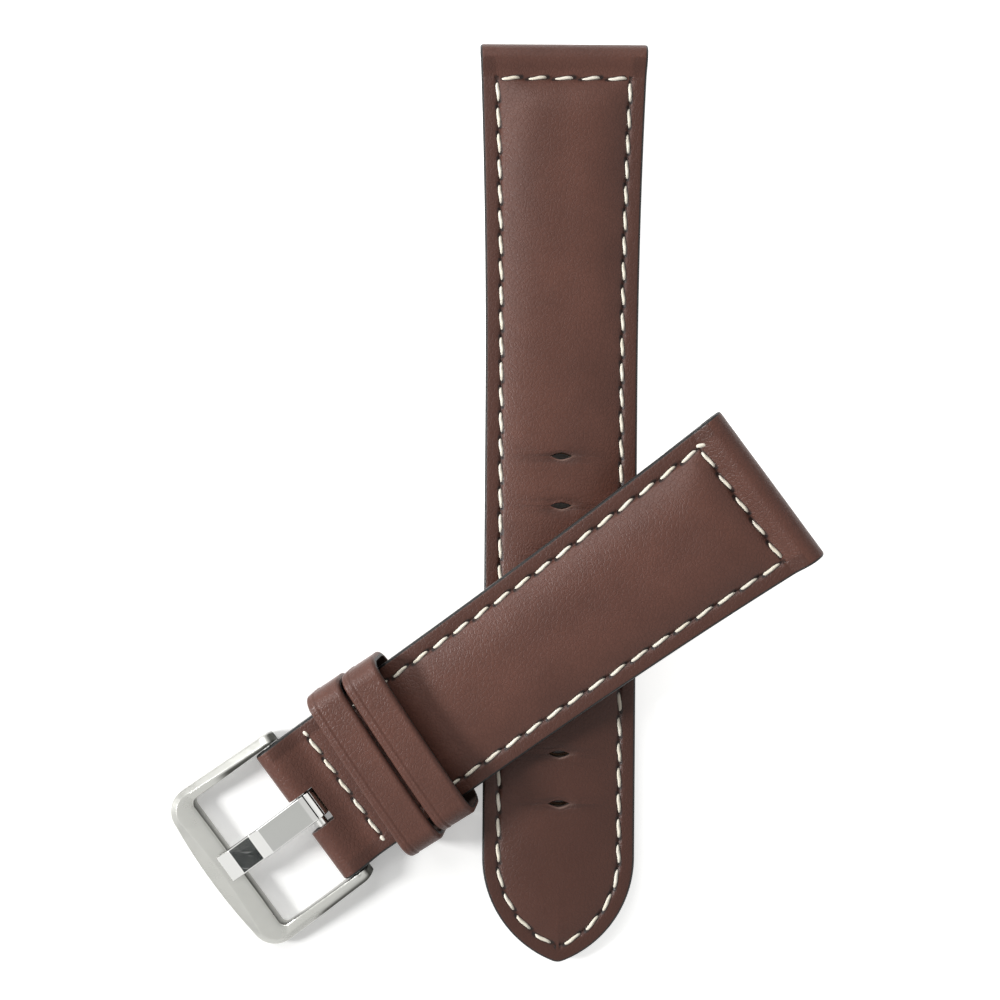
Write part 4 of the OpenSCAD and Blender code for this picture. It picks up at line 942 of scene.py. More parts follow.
# Side outline of the tongue, [y, z]: along the top to the tip, back underneath to the barrel, round
# its outside to the rolled end, and round its inside back to the start.
def tongueOutline():
    t, f = tongueShape, frameShape
    outR = t["barrelIn"] + t["thick"]
    top, low = outR + t["rise"], f["up"] + t["rest"]
    bend, knee = -t["bendAt"] * f["openLen"], -t["kneeAt"] * f["openLen"]
    brow, tip = t["browIn"] - f["openLen"], -f["openLen"] - t["lap"]
    start = np.array([t["slitFrom"], math.sqrt(outR ** 2 - t["slitFrom"] ** 2)])
    leave = math.radians(t["leaveTurn"])
    line = np.array([
        start, [t["leaveFlat"], outR], [bend, top], [knee, t["kneeHigh"]], [brow, t["browHigh"]],
        [tip + t["noseIn"], t["noseHigh"]], [tip, t["noseHigh"] - 0.2], [tip, low + 0.2],
        [tip + 0.2, low], [brow, low], [knee, t["kneeHigh"] - t["thick"]], [bend, top - t["thick"]],
        [outR * math.sin(leave), outR * math.cos(leave)]])
    line = roundCorners(line, 0.1)
    outside = np.linspace(leave, math.asin(t["slitTo"] / outR) - 2 * math.pi, 54)[1:]
    inside = np.linspace(math.asin(t["slitTo"] / t["barrelIn"]) - 2 * math.pi,
                         math.asin(t["slitFrom"] / t["barrelIn"]), 46)
    ring = lambda r, a: np.stack([r * np.sin(a), r * np.cos(a)], -1)
    return np.concatenate([line, ring(outR, outside), ring(t["barrelIn"], inside)])


# Moves each point of a closed outline inward by e, along the mean of its two edges' normals.
def insetOutline(p, e):
    edge = np.roll(p, -1, 0) - p
    normal = np.stack([edge[:, 1], -edge[:, 0]], -1) / np.linalg.norm(edge, axis=1)[:, None]
    area = 0.5 * np.sum(p[:, 0] * np.roll(p[:, 1], -1) - np.roll(p[:, 0], -1) * p[:, 1])
    both = normal + np.roll(normal, 1, 0)
    both = both / np.maximum(np.sum(both * both, 1) / 2, 0.6)[:, None]
    return p - math.copysign(e, area) * both


# The tongue: its outline carried across its width, the long edges rounded by insetting it.
def buckleTongue(material):
    t = tongueShape
    outline = tongueOutline()
    a = np.radians(np.linspace(0, 90, 5))
    inset = np.append(t["edgeR"] * (1 - np.sin(a)), 0.0)
    x = np.append(t["wide"] / 2 - t["edgeR"] * (1 - np.cos(a)), t["wide"] / 2 - 1.2 * t["edgeR"])
    rings = [np.concatenate([np.full((len(outline), 1), side * place), insetOutline(outline, e)], 1)
             for side, order in ((-1, 1), (1, -1)) for place, e in list(zip(x, inset))[::order]]
    local = np.stack(rings) + np.array([t["at"], 0, 0])
    n, m = local.shape[:2]
    index = np.arange(n * m).reshape(n, m)
    quads = gridQuads(np.concatenate([index, index[:, :1]], 1))
    caps = np.stack([index[0], index[-1][::-1]])
    run = np.concatenate([[0], np.cumsum(np.linalg.norm(np.diff(outline, axis=0), axis=1))])
    uv = np.stack([local[..., 0], np.broadcast_to(run, (n, m))], -1) * 0.001
    # The side faces and their rounded edges are painted dark, a painted dark reflection.
    darkReflectionSides = np.repeat([1.0, 1.0, 0.5] + [0.0] * (n - 6) + [0.5, 1.0, 1.0], m)
    piece = makePiece("steelTongue", onBar(local, spot["frameTilt"]), [quads, caps], "tongue",
                      material, ("buckle_tongue",), uv, dict(paintedDarkReflection=darkReflectionSides),
                      sharp=40)
    bm = bmesh.new()
    bm.from_mesh(piece.data)
    bmesh.ops.recalc_face_normals(bm, faces=bm.faces)
    bm.to_mesh(piece.data)
    bm.free()


# A node group with named sockets: inputs are (name, kind, value), outputs (name, kind).
def newGroup(name, inputs, outputs):
    group = bpy.data.node_groups.new(name, "ShaderNodeTree")
    for label, kind, value in inputs:
        socket = group.interface.new_socket(name=label, in_out="INPUT", socket_type=kind)
        if value is not None:
            socket.default_value = value
    for label, kind in outputs:
        group.interface.new_socket(name=label, in_out="OUTPUT", socket_type=kind)
    start = group.nodes.new("NodeGroupInput")
    end = group.nodes.new("NodeGroupOutput")
    return group, start, end


# Short hand for placing and joining nodes of one tree.
class Net:
    def __init__(self, tree):
        self.tree = tree

    def add(self, kind, values=None, **settings):
        node = self.tree.nodes.new(kind)
        for key, value in settings.items():
            setattr(node, key, value)
        for key, value in (values or {}).items():
            if isinstance(value, bpy.types.NodeSocket):
                self.tree.links.new(value, node.inputs[key])
            else:
                node.inputs[key].default_value = value
        return node

    def math(self, kind, a, b=0.0, clamp=False):
        return self.add("ShaderNodeMath", {0: a, 1: b}, operation=kind, use_clamp=clamp).outputs[0]

    def mix(self, factor, a, b, blend="MIX"):
        node = self.add("ShaderNodeMix", data_type="RGBA", blend_type=blend)
        for socket, value in ((node.inputs[0], factor), (node.inputs[6], a), (node.inputs[7], b)):
            if isinstance(value, bpy.types.NodeSocket):
                self.tree.links.new(value, socket)
            else:
                socket.default_value = value
        return node.outputs[2]

    def span(self, value, low, high, outLow, outHigh):
        ends = {0: value, 1: low, 2: high, 3: outLow, 4: outHigh}
        return self.add("ShaderNodeMapRange", ends).outputs[0]

    def noise(self, vector, scale, detail=3.0, rough=0.55, distortion=0.0):
        return self.add("ShaderNodeTexNoise", {"Vector": vector, "Scale": scale, "Detail": detail,
                                               "Roughness": rough, "Distortion": distortion})


# Linear colour from a six-figure sRGB hex.
def colour(hexText):
    part = [int(hexText[i:i + 2], 16) / 255 for i in (0, 2, 4)]
    return tuple([c / 12.92 if c <= 0.04045 else ((c + 0.055) / 1.055) ** 2.4 for c in part] + [1.0])


# Leather grain: small irregular cells with creases between them, finer pores, and soft unevenness.
# Puts out a height, a cell mask and a slow mottle.
def grainGroup():
    group, start, end = newGroup("leatherGrain", [
        ("Cells", "NodeSocketFloat", 1900.0), ("Pores", "NodeSocketFloat", 5200.0),
        ("Mottle", "NodeSocketFloat", 120.0)],
        [("Height", "NodeSocketFloat"), ("Creases", "NodeSocketFloat"), ("Tone", "NodeSocketFloat")])
    net = Net(group)
    place = net.add("ShaderNodeTexCoord").outputs["Object"]
    warp = net.noise(place, 900.0, 2.0)
    bent = net.add("ShaderNodeVectorMath", {0: place, 1: net.add(
        "ShaderNodeVectorMath", {0: warp.outputs["Color"], 3: 0.00035}, operation="SCALE").outputs[0]},
        operation="ADD").outputs[0]
    cells = net.add("ShaderNodeTexVoronoi", {"Vector": bent, "Scale": start.outputs["Cells"]},
                    feature="DISTANCE_TO_EDGE").outputs["Distance"]
    fine = net.noise(place, start.outputs["Pores"], 2.0).outputs["Fac"]
    pores = net.add("ShaderNodeTexVoronoi", {"Vector": place, "Scale": start.outputs["Pores"]},
                    feature="F1").outputs["Distance"]
    creases = net.span(cells, 0.0, 0.16, 1.0, 0.0)
    height = net.math("SUBTRACT", net.math("MULTIPLY", fine, 0.35), net.math("MULTIPLY", creases, 0.55))
    height = net.math("ADD", height, net.math("MULTIPLY", net.span(pores, 0.0, 0.35, -0.3, 0.0), 0.5))
    tone = net.noise(place, start.outputs["Mottle"], 4.0, 0.6).outputs["Fac"]
    for label, value in (("Height", height), ("Creases", creases), ("Tone", tone)):
        group.links.new(value, end.inputs[label])
    return group


# Soft handling marks: faint long scuffs and rubbed patches, for roughness and colour.
def wearGroup():
    group, start, end = newGroup("handlingWear", [("Rubs", "NodeSocketFloat", 75.0)],
                                 [("Scuffs", "NodeSocketFloat"), ("Rub", "NodeSocketFloat")])
    net = Net(group)
    place = net.add("ShaderNodeTexCoord").outputs["Object"]
    turned = net.add("ShaderNodeMapping", {"Vector": place, "Rotation": (0.3, 0.2, 0.7),
                                           "Scale": (260.0, 1900.0, 900.0)}).outputs[0]
    long = net.noise(turned, 1.0, 2.0, 0.5).outputs["Fac"]
    rub = net.noise(place, start.outputs["Rubs"], 3.0, 0.6).outputs["Fac"]
    group.links.new(net.span(long, 0.58, 0.72, 0.0, 1.0), end.inputs["Scuffs"])
    group.links.new(net.span(rub, 0.35, 0.7, 0.0, 1.0), end.inputs["Rub"])
    return group


grain = grainGroup()
wear = wearGroup()


def newMaterial(name):
    material = bpy.data.materials.new(name)
    material.use_nodes = True
    tree = material.node_tree
    tree.nodes.clear()
    net = Net(tree)
    out = net.add("ShaderNodeOutputMaterial")
    shader = net.add("ShaderNodeBsdfPrincipled")
    tree.links.new(shader.outputs[0], out.inputs[0])
    return material, net, shader


# Joins a height to a shader's normal through a bump; deep is in metres.
def bumped(net, shader, strength, deep, height):
    bump = net.add("ShaderNodeBump", {"Strength": strength, "Distance": deep, "Height": height})
    net.tree.links.new(bump.outputs[0], shader.inputs["Normal"])


# Of the painted shade round a stitch: how far each mark stays dark, where it is gone, and how dark it
# is.
stitchShade = dict(pitch=3.33, reach=1.2, holeAt=1.37, outline=(0.24, 0.42, 0.8),
                   hole=(0.14, 0.36, 1.0), crease=(0.05, 0.3, 0.5))


# Painted shade round a row of stitches: a shadow beside each stitch, shade in the holes at its ends and
# in the seam's crease. Off is the distance beside the row and Run the way along it, counted in stitches.
# Each stitch is a slanting line, and its outline, the two holes at its ends and the crease between
# stitches are distances from it.
def stitchShadeGroup():
    shade = stitchShade
    group, start, end = newGroup("stitchPaintedShade", [("Off", "NodeSocketFloat", 3.0),
                                                 ("Run", "NodeSocketFloat", 0.0)],
                                 [("PaintedShade", "NodeSocketFloat")])
    net = Net(group)
    off, run = start.outputs["Off"], start.outputs["Run"]
    lean = math.radians(stitches["slant"])
    along = net.math("SUBTRACT", net.math("FRACT", run), 0.5)
    along = net.math("MULTIPLY", along, shade["pitch"])
    across = net.math("SUBTRACT", net.math("MULTIPLY", off, math.cos(lean)),
                      net.math("MULTIPLY", along, math.sin(lean)))
    reach = net.math("ABSOLUTE", net.math("ADD", net.math("MULTIPLY", along, math.cos(lean)),
                                          net.math("MULTIPLY", off, math.sin(lean))))
    squared = net.math("MULTIPLY", across, across)

    def away(q):
        return net.math("SQRT", net.math("ADD", squared, net.math("MULTIPLY", q, q)))

    def fading(distance, key):
        return net.span(distance, *shade[key], 0.0)

    outline = away(net.math("MAXIMUM", net.math("SUBTRACT", reach, shade["reach"]), 0.0))
    hole = away(net.math("SUBTRACT", reach, shade["holeAt"]))
    dark = net.math("MAXIMUM", fading(outline, "outline"), fading(hole, "hole"))
    dark = net.math("MAXIMUM", dark, fading(net.math("ABSOLUTE", off), "crease"))
    group.links.new(dark, end.inputs["PaintedShade"])
    return group


stitchPaintedShade = stitchShadeGroup()
# The calf's colours, their shares where they show, and where it is painted darker towards the tail, a
# painted shade, in metres. dark also paints the margins' shade, crease the painted shade at seams and
# fold wrinkles, and lip the painted highlight on the holes' far lips.
calfLook = dict(base=colour("5c392f"), light=colour("6c4539"), dark=colour("43261d"),
                paint=colour("0f0c0c"), raw=colour("3b2a22"), crease=colour("1d110e"),
                lip=colour("a98c80"), baseShare=0.6, rubShare=0.2, creaseShare=0.25,
                marginShadeShare=0.6, foldShare=0.5, lipHighlightShare=0.6, tailShadeFrom=-0.066, tailShadeTo=-0.084,
                rough=0.45, grainRough=-0.14, rubRough=0.06, rawRough=0.3, foldDeep=1.8,
                grainStrength=0.65, grainDeep=0.00006,
                sockets={"Specular IOR Level": 0.32, "Coat Weight": 0.05, "Coat Roughness": 0.3,
                         "Sheen Weight": 0.05, "Sheen Roughness": 0.5})


# Smooth calf: grain, mottled colour, painted cut edges, painted shade at margins, seams and fold
# wrinkles, a painted highlight on the holes' lips, and fine wrinkles. tailShade is how far it is painted
# darker towards the tail's end, a painted shade.
def calfMaterial(name, wrinkle, tailShade=0.0):
    look = calfLook
    material, net, shader = newMaterial(name)
    link = net.tree.links.new
    g = net.add("ShaderNodeGroup", node_tree=grain)
    w = net.add("ShaderNodeGroup", node_tree=wear)
    mark = lambda key: net.add("ShaderNodeAttribute", attribute_name=key).outputs["Fac"]
    paint, near, raw = mark("edgePaint"), mark("holeNear"), mark("rawSide")
    stitchShadeNode = net.add("ShaderNodeGroup", {"Off": mark("seamOff"), "Run": mark("seamRun")},
                       node_tree=stitchPaintedShade)
    tone = net.span(g.outputs["Tone"], 0.3, 0.7, 0.0, 1.0)
    tint = net.mix(tone, look["dark"], look["light"])

    # Mixes a colour in by a mask: real wear and grain, and also the painted shade and painted highlight
    # below.
    def stainOrPaintedLight(share, amount, key):
        return net.mix(net.math("MULTIPLY", share, amount), tint, look[key])

    tint = net.mix(look["baseShare"], tint, look["base"])
    tint = stainOrPaintedLight(w.outputs["Rub"], look["rubShare"], "light")
    tint = stainOrPaintedLight(g.outputs["Creases"], look["creaseShare"], "dark")
    # Painted shade: the margins along the edges are darkened.
    tint = stainOrPaintedLight(mark("marginShade"), look["marginShadeShare"], "dark")
    # Painted shade: the long half is darkened towards its tail, by place along Y.
    place = net.add("ShaderNodeTexCoord").outputs["Object"]
    along = net.add("ShaderNodeSeparateXYZ", {0: place}).outputs[1]
    tailShadeMask = net.span(along, look["tailShadeFrom"], look["tailShadeTo"], 0.0, tailShade)
    tint = net.mix(tailShadeMask, tint, look["dark"])
    uv = net.add("ShaderNodeUVMap", uv_map="UVMap").outputs[0]
    # Fold wrinkles round the tongue holes: a bump, and painted shade in their creases in the crease
    # colour.
    fold = net.add("ShaderNodeMapping", {"Vector": uv, "Scale": (140.0, 1500.0, 1.0)}).outputs[0]
    foldWrinklesAndShade = net.noise(fold, 1.0, 2.0, 0.5, 0.4).outputs["Fac"]
    foldWrinklesAndShade = net.math("MULTIPLY", net.span(foldWrinklesAndShade, 0.42, 0.6, 0.0, 1.0), near)
    tint = stainOrPaintedLight(foldWrinklesAndShade, look["foldShare"], "crease")
    # Painted shade round the stitches, in the crease colour.
    tint = stainOrPaintedLight(stitchShadeNode.outputs["PaintedShade"], mark("seamShadeMask"), "crease")
    # Painted highlight on the holes' far lips.
    tint = stainOrPaintedLight(mark("holeLipHighlight"), look["lipHighlightShare"], "lip")
    tint = net.mix(raw, tint, look["raw"])
    ragged = net.noise(place, 2600.0, 2.0).outputs["Fac"]
    painted = net.math("ADD", paint, net.math("MULTIPLY", net.math("SUBTRACT", ragged, 0.5), 0.5))
    painted = net.span(painted, 0.42, 0.58, 0.0, 1.0)
    painted = net.math("MULTIPLY", painted, net.span(paint, 0.0, 0.1, 0.0, 1.0))
    tint = net.mix(painted, tint, look["paint"])
    link(tint, shader.inputs["Base Color"])
    rough = net.math("ADD", look["rough"], net.math("MULTIPLY", g.outputs["Height"], look["grainRough"]))
    rough = net.math("SUBTRACT", rough, net.math("MULTIPLY", w.outputs["Rub"], look["rubRough"]))
    rough = net.math("ADD", rough, net.math("MULTIPLY", raw, look["rawRough"]), True)
    link(rough, shader.inputs["Roughness"])
    skew = net.add("ShaderNodeMapping", {"Vector": uv, "Rotation": (0, 0, 0.5),
                                         "Scale": (260.0, 1250.0, 1.0)}).outputs[0]
    lines = net.noise(skew, 1.0, 1.0, 0.5, 0.25).outputs["Fac"]
    lines = net.span(lines, 0.35, 0.6, 1.0, 0.0)
    height = net.math("ADD", g.outputs["Height"], net.math("MULTIPLY", lines, -wrinkle))
    height = net.math("SUBTRACT", height, net.math("MULTIPLY", foldWrinklesAndShade, look["foldDeep"]))
    bumped(net, shader, look["grainStrength"], look["grainDeep"], height)
    for label, value in look["sockets"].items():
        shader.inputs[label].default_value = value
    return material


liningLook = dict(low=colour("8a6346"), high=colour("a57c5a"), crease=colour("6c4a32"),
                  scuff=colour("b08a69"), creaseShare=0.25, scuffShare=0.2, sheen=0.15)


# Lining leather with a velvety nap, lighter than the top, its cut edge painted.
def liningMaterial():
    look = liningLook
    material, net, shader = newMaterial("liningLeather")
    link = net.tree.links.new
    g = net.add("ShaderNodeGroup", {"Cells": 2400.0, "Pores": 7000.0, "Mottle": 160.0},
                node_tree=grain)
    w = net.add("ShaderNodeGroup", node_tree=wear)
    paint = net.add("ShaderNodeAttribute", attribute_name="edgePaint").outputs["Fac"]
    tint = net.mix(g.outputs["Tone"], look["low"], look["high"])
    creased = net.math("MULTIPLY", g.outputs["Creases"], look["creaseShare"])
    tint = net.mix(creased, tint, look["crease"])
    scuffed = net.math("MULTIPLY", w.outputs["Scuffs"], look["scuffShare"])
    tint = net.mix(scuffed, tint, look["scuff"])
    tint = net.mix(net.span(paint, 0.4, 0.6, 0.0, 1.0), tint, calfLook["paint"])
    link(tint, shader.inputs["Base Color"])
    link(net.span(g.outputs["Tone"], 0.3, 0.7, 0.62, 0.78), shader.inputs["Roughness"])
    bumped(net, shader, 0.5, 0.00003, g.outputs["Height"])
    shader.inputs["Sheen Weight"].default_value = look["sheen"]
    return material


threadLook = dict(low=colour("efe6d2"), high=colour("faf4e6"), between=colour("c9b998"), sheen=0.2)


# Waxed cream thread: fine fibres along the twist, slightly darker between the plies.
def threadMaterial():
    look = threadLook
    material, net, shader = newMaterial("creamThread")
    link = net.tree.links.new
    uv = net.add("ShaderNodeUVMap", uv_map="UVMap").outputs[0]
    fibre = net.add("ShaderNodeMapping", {"Vector": uv, "Rotation": (0, 0, 0.35),
                                          "Scale": (1500.0, 16000.0, 1.0)}).outputs[0]
    hair = net.noise(fibre, 1.0, 2.0, 0.6).outputs["Fac"]
    place = net.add("ShaderNodeTexCoord").outputs["Object"]
    tone = net.noise(place, 210.0, 2.0).outputs["Fac"]
    tint = net.mix(net.span(tone, 0.3, 0.7, 0.0, 1.0), look["low"], look["high"])
    tint = net.mix(net.span(hair, 0.25, 0.5, 0.35, 0.0), tint, look["between"])
    link(tint, shader.inputs["Base Color"])
    link(net.span(hair, 0.3, 0.7, 0.5, 0.68), shader.inputs["Roughness"])
    bumped(net, shader, 0.4, 0.00003, hair)
    shader.inputs["Sheen Weight"].default_value = look["sheen"]
    return material


# Fine lines along a piece's own length, with soft cloudiness, for worked steel.
def brushGroup():
    lineTurn = math.radians(90 - pose["heading"])
    group, start, end = newGroup("steelLines", [("Lines", "NodeSocketFloat", 26000.0),
                                                ("Run", "NodeSocketFloat", 500.0)],
                                 [("Height", "NodeSocketFloat"), ("Cloud", "NodeSocketFloat")])
    net = Net(group)
    place = net.add("ShaderNodeTexCoord").outputs["Object"]
    size = net.add("ShaderNodeCombineXYZ", {0: start.outputs["Run"], 1: start.outputs["Lines"],
                                            2: start.outputs["Lines"]}).outputs[0]
    turned = net.add("ShaderNodeMapping", {"Vector": place, "Rotation": (0, 0, lineTurn)}).outputs[0]
    scaled = net.add("ShaderNodeVectorMath", {0: turned, 1: size}, operation="MULTIPLY").outputs[0]
    lines = net.noise(scaled, 1.0, 2.0, 0.5).outputs["Fac"]
    cloud = net.noise(place, 190.0, 3.0, 0.55).outputs["Fac"]
    group.links.new(lines, end.inputs["Height"])
    group.links.new(cloud, end.inputs["Cloud"])
    return group


brush = brushGroup()


# wall is the colour of the painted dark reflection on the frame's walls and the tongue's sides.
steelLook = dict(wall=colour("34342f"), darkReflectionShare=0.93, scuffRough=0.05, lineStrength=0.25)


# Worked steel: cloudy tint and roughness between two values, fine lines, and walls and edges painted
# dark, a painted dark reflection.
def steelMaterial(name, roughLow, roughHigh, bumpDeep, tintLow, tintHigh):
    look = steelLook
    material, net, shader = newMaterial(name)
    link = net.tree.links.new
    b = net.add("ShaderNodeGroup", node_tree=brush)
    w = net.add("ShaderNodeGroup", node_tree=wear)
    wall = net.add("ShaderNodeAttribute", attribute_name="paintedDarkReflection").outputs["Fac"]
    tint = net.mix(b.outputs["Cloud"], tintLow, tintHigh)
    # Painted dark reflection: marked walls and edges take the wall colour.
    tint = net.mix(net.math("MULTIPLY", wall, look["darkReflectionShare"]), tint, look["wall"])
    link(tint, shader.inputs["Base Color"])
    rough = net.span(b.outputs["Cloud"], 0.3, 0.7, roughLow, roughHigh)
    rough = net.math("ADD", rough, net.math("MULTIPLY", w.outputs["Scuffs"], look["scuffRough"]))
    link(rough, shader.inputs["Roughness"])
    shader.inputs["Metallic"].default_value = 1.0
    bumped(net, shader, look["lineStrength"], bumpDeep, b.outputs["Height"])
    return material


# Felt, fibre strip and backing: matted fibres in two tones.
def fibreMaterial(name, low, high, scale, rough):
    material, net, shader = newMaterial(name)
    link = net.tree.links.new
    place = net.add("ShaderNodeTexCoord").outputs["Object"]
    hair = net.noise(place, scale, 5.0, 0.7, 1.2).outputs["Fac"]
    link(net.mix(net.span(hair, 0.35, 0.65, 0.0, 1.0), low, high), shader.inputs["Base Color"])
    link(net.span(hair, 0.3, 0.7, rough - 0.06, rough + 0.06), shader.inputs["Roughness"])
    bumped(net, shader, 0.6, 0.00005, hair)
    return material


# The long half's copy is painted darker towards its tail, a painted shade; the short half's copy is not.
calf = calfMaterial("calfLeather", 0.12, 0.6)
shortCalf = calfMaterial("shortCalfLeather", 0.12)
keeperCalf = calfMaterial("keeperLeather", 0.22)
lining = liningMaterial()
thread = threadMaterial()
satin = steelMaterial("satinSteel", 0.24, 0.32, 0.000004, colour("c4c4bf"), colour("d0d0cb"))
bright = steelMaterial("brightSteel", 0.03, 0.06, 0.000001, colour("eeeeec"), colour("f5f5f2"))
felt = fibreMaterial("feltPad", colour("8f8778"), colour("b5ac9b"), 3200.0, 0.9)
fibre = fibreMaterial("fibreStrip", colour("9c8f78"), colour("b9ad96"), 4200.0, 0.8)
backing = fibreMaterial("keeperBacking", colour("2c1a14"), colour("43291f"), 3000.0, 0.8)
print("materials made")


longLeather = buildCover(True, "longLeather", onLong, "long_half", calf, ("long_cover",))
shortLeather = buildCover(False, "shortLeather", onShort, "short_half", shortCalf, ("short_cover",))
buildLining(True, "longLiningSheet", onLong, "long_half", lining, ("long_lining",))
buildLining(False, "shortLiningSheet", onShort, "short_half", lining, ("short_lining",))
threadPiece("longTopStitches", seamRuns(True, False), onLong, "long_half", thread, ("long_top_thread",))
threadPiece("longLowStitches", seamRuns(True, True), onLong, "long_half", thread,
            ("long_bottom_thread",), True)
threadPiece("shortTopStitches", seamRuns(False, False), onShort, "short_half", thread,
            ("short_top_thread",))
threadPiece("shortLowStitches", seamRuns(False, True), onShort, "short_half", thread,
            ("short_bottom_thread",), True)
threadPiece("foldTopStitches", foldRuns(False), onShort, "short_half", thread, ("fold_top_thread",))
threadPiece("foldLowStitches", foldRuns(True), onShort, "short_half", thread,
            ("fold_bottom_thread",), True)
behind = keeper["backing"] + keeper["gap"]
keeperPiece("fixedKeeperLoop", keeper["fixedAt"], keeper["fixedHalf"] + behind, -keeper["gap"],
            keeper["high"] + behind, "short_half", keeperCalf, ("fixed_keeper",), 5)
keeperPiece("freeKeeperLoop", keeper["freeAt"], keeper["freeHalf"] + behind, -keeper["slip"],
            keeper["high"] + behind, "free_keeper", keeperCalf, ("free_keeper",), 11)
buckleFrame(satin)
buckleTongue(bright)

carriedOver = {
    "long_padding": (felt, "felt"), "short_padding": (felt, "felt"),
    "long_fibre_strip": (fibre, "fibre"), "short_fibre_strip": (fibre, "fibre"),
    "fixed_keeper_backing": (backing, "backing_leather"),
    "free_keeper_backing": (backing, "backing_leather"),
    "spring_bar_tube": (bright, "bright_steel"), "spring_bar_spring": (bright, "bright_steel"),
    "spring_bar_plunger_left": (bright, "bright_steel"),
    "spring_bar_plunger_right": (bright, "bright_steel"),
}
for node, (material, slotName) in carriedOver.items():
    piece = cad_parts[node]
    piece.data.materials.clear()
    piece.data.materials.append(material)
print("carried-over pieces dressed")


# Places and sizes of lamps and camera in mm. The camera looks straight down, turned by roll degrees,
# and halfView is half of what it sees at the distance over.
studio = dict(floorZ=-2.0, camera=(-7.98, -57.82, 178.0), halfView=66.445, over=180.0, roll=0.41,
              aim=(-30.0, -80.0, 0.0), keyPlace=(-330.0, -90.0, 190.0), keySize=90.0, keyPower=1.1,
              fillPlace=(-150.0, 120.0, 190.0), fillSize=260.0, fillPower=0.47)

# In metres: the buckle's place and the band under the long half, with where the glow comes back.
floorLook = dict(half=2.5, drop=0.00002, paper=(0.86, 0.86, 0.85, 1.0), glow=(1.0, 1.0, 0.99, 1.0),
                 glowLow=0.27, glowHigh=0.95, buckleAt=(-0.045, -0.105), buckleFade=(0.025, 0.075),
                 bandHalf=(0.0088, 0.0098), bandMiddle=-0.0525, bandReach=(0.0495, 0.0525))


# A wide pale sheet. For the camera and in reflections a little light is added, less round the buckle
# and none under the long half, so that it reads as white and keeps the object's shadow.
def makeFloor():
    look, r = floorLook, floorLook["half"]
    mesh = bpy.data.meshes.new("paleFloor")
    z = studio["floorZ"] * 0.001 - look["drop"]
    mesh.from_pydata([(-r, -r, z), (r, -r, z), (r, r, z), (-r, r, z)], [], [(0, 1, 2, 3)])
    floor = bpy.data.objects.new("paleFloor", mesh)
    bpy.context.scene.collection.objects.link(floor)
    material = bpy.data.materials.new("palePaper")
    material.use_nodes = True
    tree = material.node_tree
    tree.nodes.clear()
    net = Net(tree)
    out = net.add("ShaderNodeOutputMaterial")
    matte = net.add("ShaderNodeBsdfDiffuse", {"Color": look["paper"]})
    glow = net.add("ShaderNodeEmission", {"Color": look["glow"]})
    path = net.add("ShaderNodeLightPath")
    seen = net.math("MAXIMUM", path.outputs["Is Camera Ray"], path.outputs["Is Glossy Ray"])
    seen = net.math("MAXIMUM", seen, path.outputs["Is Transmission Ray"])
    place = net.add("ShaderNodeTexCoord").outputs["Object"]
    x, y, _ = net.add("ShaderNodeSeparateXYZ", {0: place}).outputs
    buckle = net.add("ShaderNodeVectorMath", {0: place, 1: (*look["buckleAt"], z)},
                     operation="DISTANCE").outputs["Value"]
    level = net.span(buckle, *look["buckleFade"], look["glowLow"], look["glowHigh"])
    beside = net.span(net.math("ABSOLUTE", x), *look["bandHalf"], 0.0, 1.0)
    alongBand = net.math("ABSOLUTE", net.math("SUBTRACT", y, look["bandMiddle"]))
    below = net.span(alongBand, *look["bandReach"], 0.0, 1.0)
    level = net.math("MULTIPLY", level, net.math("MAXIMUM", beside, below))
    tree.links.new(net.math("MULTIPLY", seen, level), glow.inputs["Strength"])
    both = net.add("ShaderNodeAddShader", {0: matte.outputs[0], 1: glow.outputs[0]})
    tree.links.new(both.outputs[0], out.inputs[0])
    mesh.materials.append(material)


# Greys by height, from the bench to overhead. patchAt is the slope, x and y over up, of the way to the
# dark patch, and patchFade the slopes over which it ends.
tentLook = dict(bench=(0.55, 0.55, 0.55, 1), overhead=(0.54, 0.55, 0.53, 1),
                stops=((0.25, 0.9), (0.6, 1.0), (0.85, 1.0), (0.95, 0.84), (0.985, 0.6)),
                plain=0.3, mirrored=0.95, patchAt=(-0.197, -0.272), patchFade=(0.024, 0.026),
                patch=(0.03, 0.035, 0.035, 1))


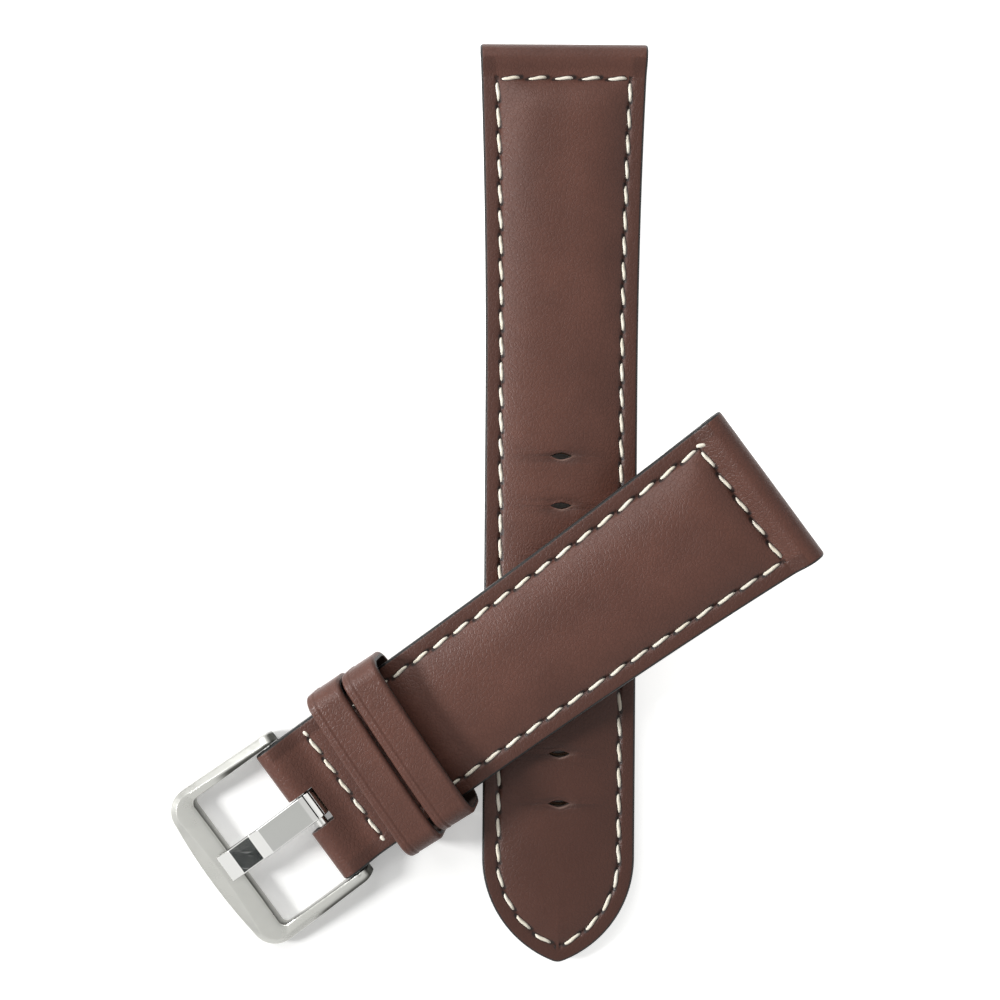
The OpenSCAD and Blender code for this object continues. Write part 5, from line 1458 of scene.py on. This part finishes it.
# A white tent. In reflections it is brightest to the sides and greyer overhead, with a small dark
# patch where the camera stands.
def makeWorld():
    look = tentLook
    world = bpy.data.worlds.new("whiteTent")
    bpy.context.scene.world = world
    world.use_nodes = True
    tree = world.node_tree
    tree.nodes.clear()
    net = Net(tree)
    out = net.add("ShaderNodeOutputWorld")
    way = net.add("ShaderNodeTexCoord").outputs["Generated"]
    x, y, up = net.add("ShaderNodeSeparateXYZ", {0: way}).outputs
    ramp = net.add("ShaderNodeValToRGB", {0: up})
    ramp.color_ramp.elements[0].position = 0.0
    ramp.color_ramp.elements[0].color = look["bench"]
    ramp.color_ramp.elements[1].position = 1.0
    ramp.color_ramp.elements[1].color = look["overhead"]
    for position, value in look["stops"]:
        stop = ramp.color_ramp.elements.new(position)
        stop.color = (value, value, value * 0.99, 1)
    safe = net.math("MAXIMUM", up, 0.05)
    offX = net.math("SUBTRACT", net.math("DIVIDE", x, safe), look["patchAt"][0])
    offY = net.math("SUBTRACT", net.math("DIVIDE", y, safe), look["patchAt"][1])
    far = net.math("SQRT", net.math("ADD", net.math("MULTIPLY", offX, offX),
                                    net.math("MULTIPLY", offY, offY)))
    patch = net.span(far, *look["patchFade"], 1.0, 0.0)
    mirrored = net.mix(patch, ramp.outputs[0], look["patch"])
    path = net.add("ShaderNodeLightPath")
    plain = net.add("ShaderNodeBackground", {"Color": (1, 1, 1, 1), "Strength": look["plain"]})
    seen = net.add("ShaderNodeBackground", {"Color": mirrored, "Strength": look["mirrored"]})
    white = net.add("ShaderNodeBackground", {"Color": (1, 1, 1, 1), "Strength": 1.0})
    both = net.add("ShaderNodeMixShader", {0: path.outputs["Is Glossy Ray"], 1: plain.outputs[0],
                                           2: seen.outputs[0]})
    both = net.add("ShaderNodeMixShader", {0: path.outputs["Is Camera Ray"], 1: both.outputs[0],
                                           2: white.outputs[0]})
    tree.links.new(both.outputs[0], out.inputs[0])


def areaLight(name, place, aim, size, power):
    lamp = bpy.data.lights.new(name, "AREA")
    lamp.shape = "DISK"
    lamp.size = size * 0.001
    lamp.energy = power
    light = bpy.data.objects.new(name, lamp)
    bpy.context.scene.collection.objects.link(light)
    start = np.array(place) * 0.001
    way = np.array(aim) * 0.001 - start
    light.location = start
    light.rotation_mode = "QUATERNION"
    light.rotation_quaternion = Vector(way).to_track_quat("-Z", "Y")


makeFloor()
makeWorld()
areaLight("keySoftbox", studio["keyPlace"], studio["aim"], studio["keySize"], studio["keyPower"])
areaLight("fillSoftbox", studio["fillPlace"], studio["aim"], studio["fillSize"], studio["fillPower"])

camera = bpy.data.cameras.new("photoCamera")
cameraPiece = bpy.data.objects.new("photoCamera", camera)
bpy.context.scene.collection.objects.link(cameraPiece)
cameraPiece.location = np.array(studio["camera"]) * 0.001
cameraPiece.rotation_euler = (0, 0, math.radians(studio["roll"]))
camera.sensor_fit = "HORIZONTAL"
camera.angle = 2 * math.atan(studio["halfView"] / studio["over"])
camera.clip_start, camera.clip_end = 0.005, 10.0
bpy.context.scene.camera = cameraPiece
bpy.context.scene.view_settings.view_transform = "Standard"
print("studio made")
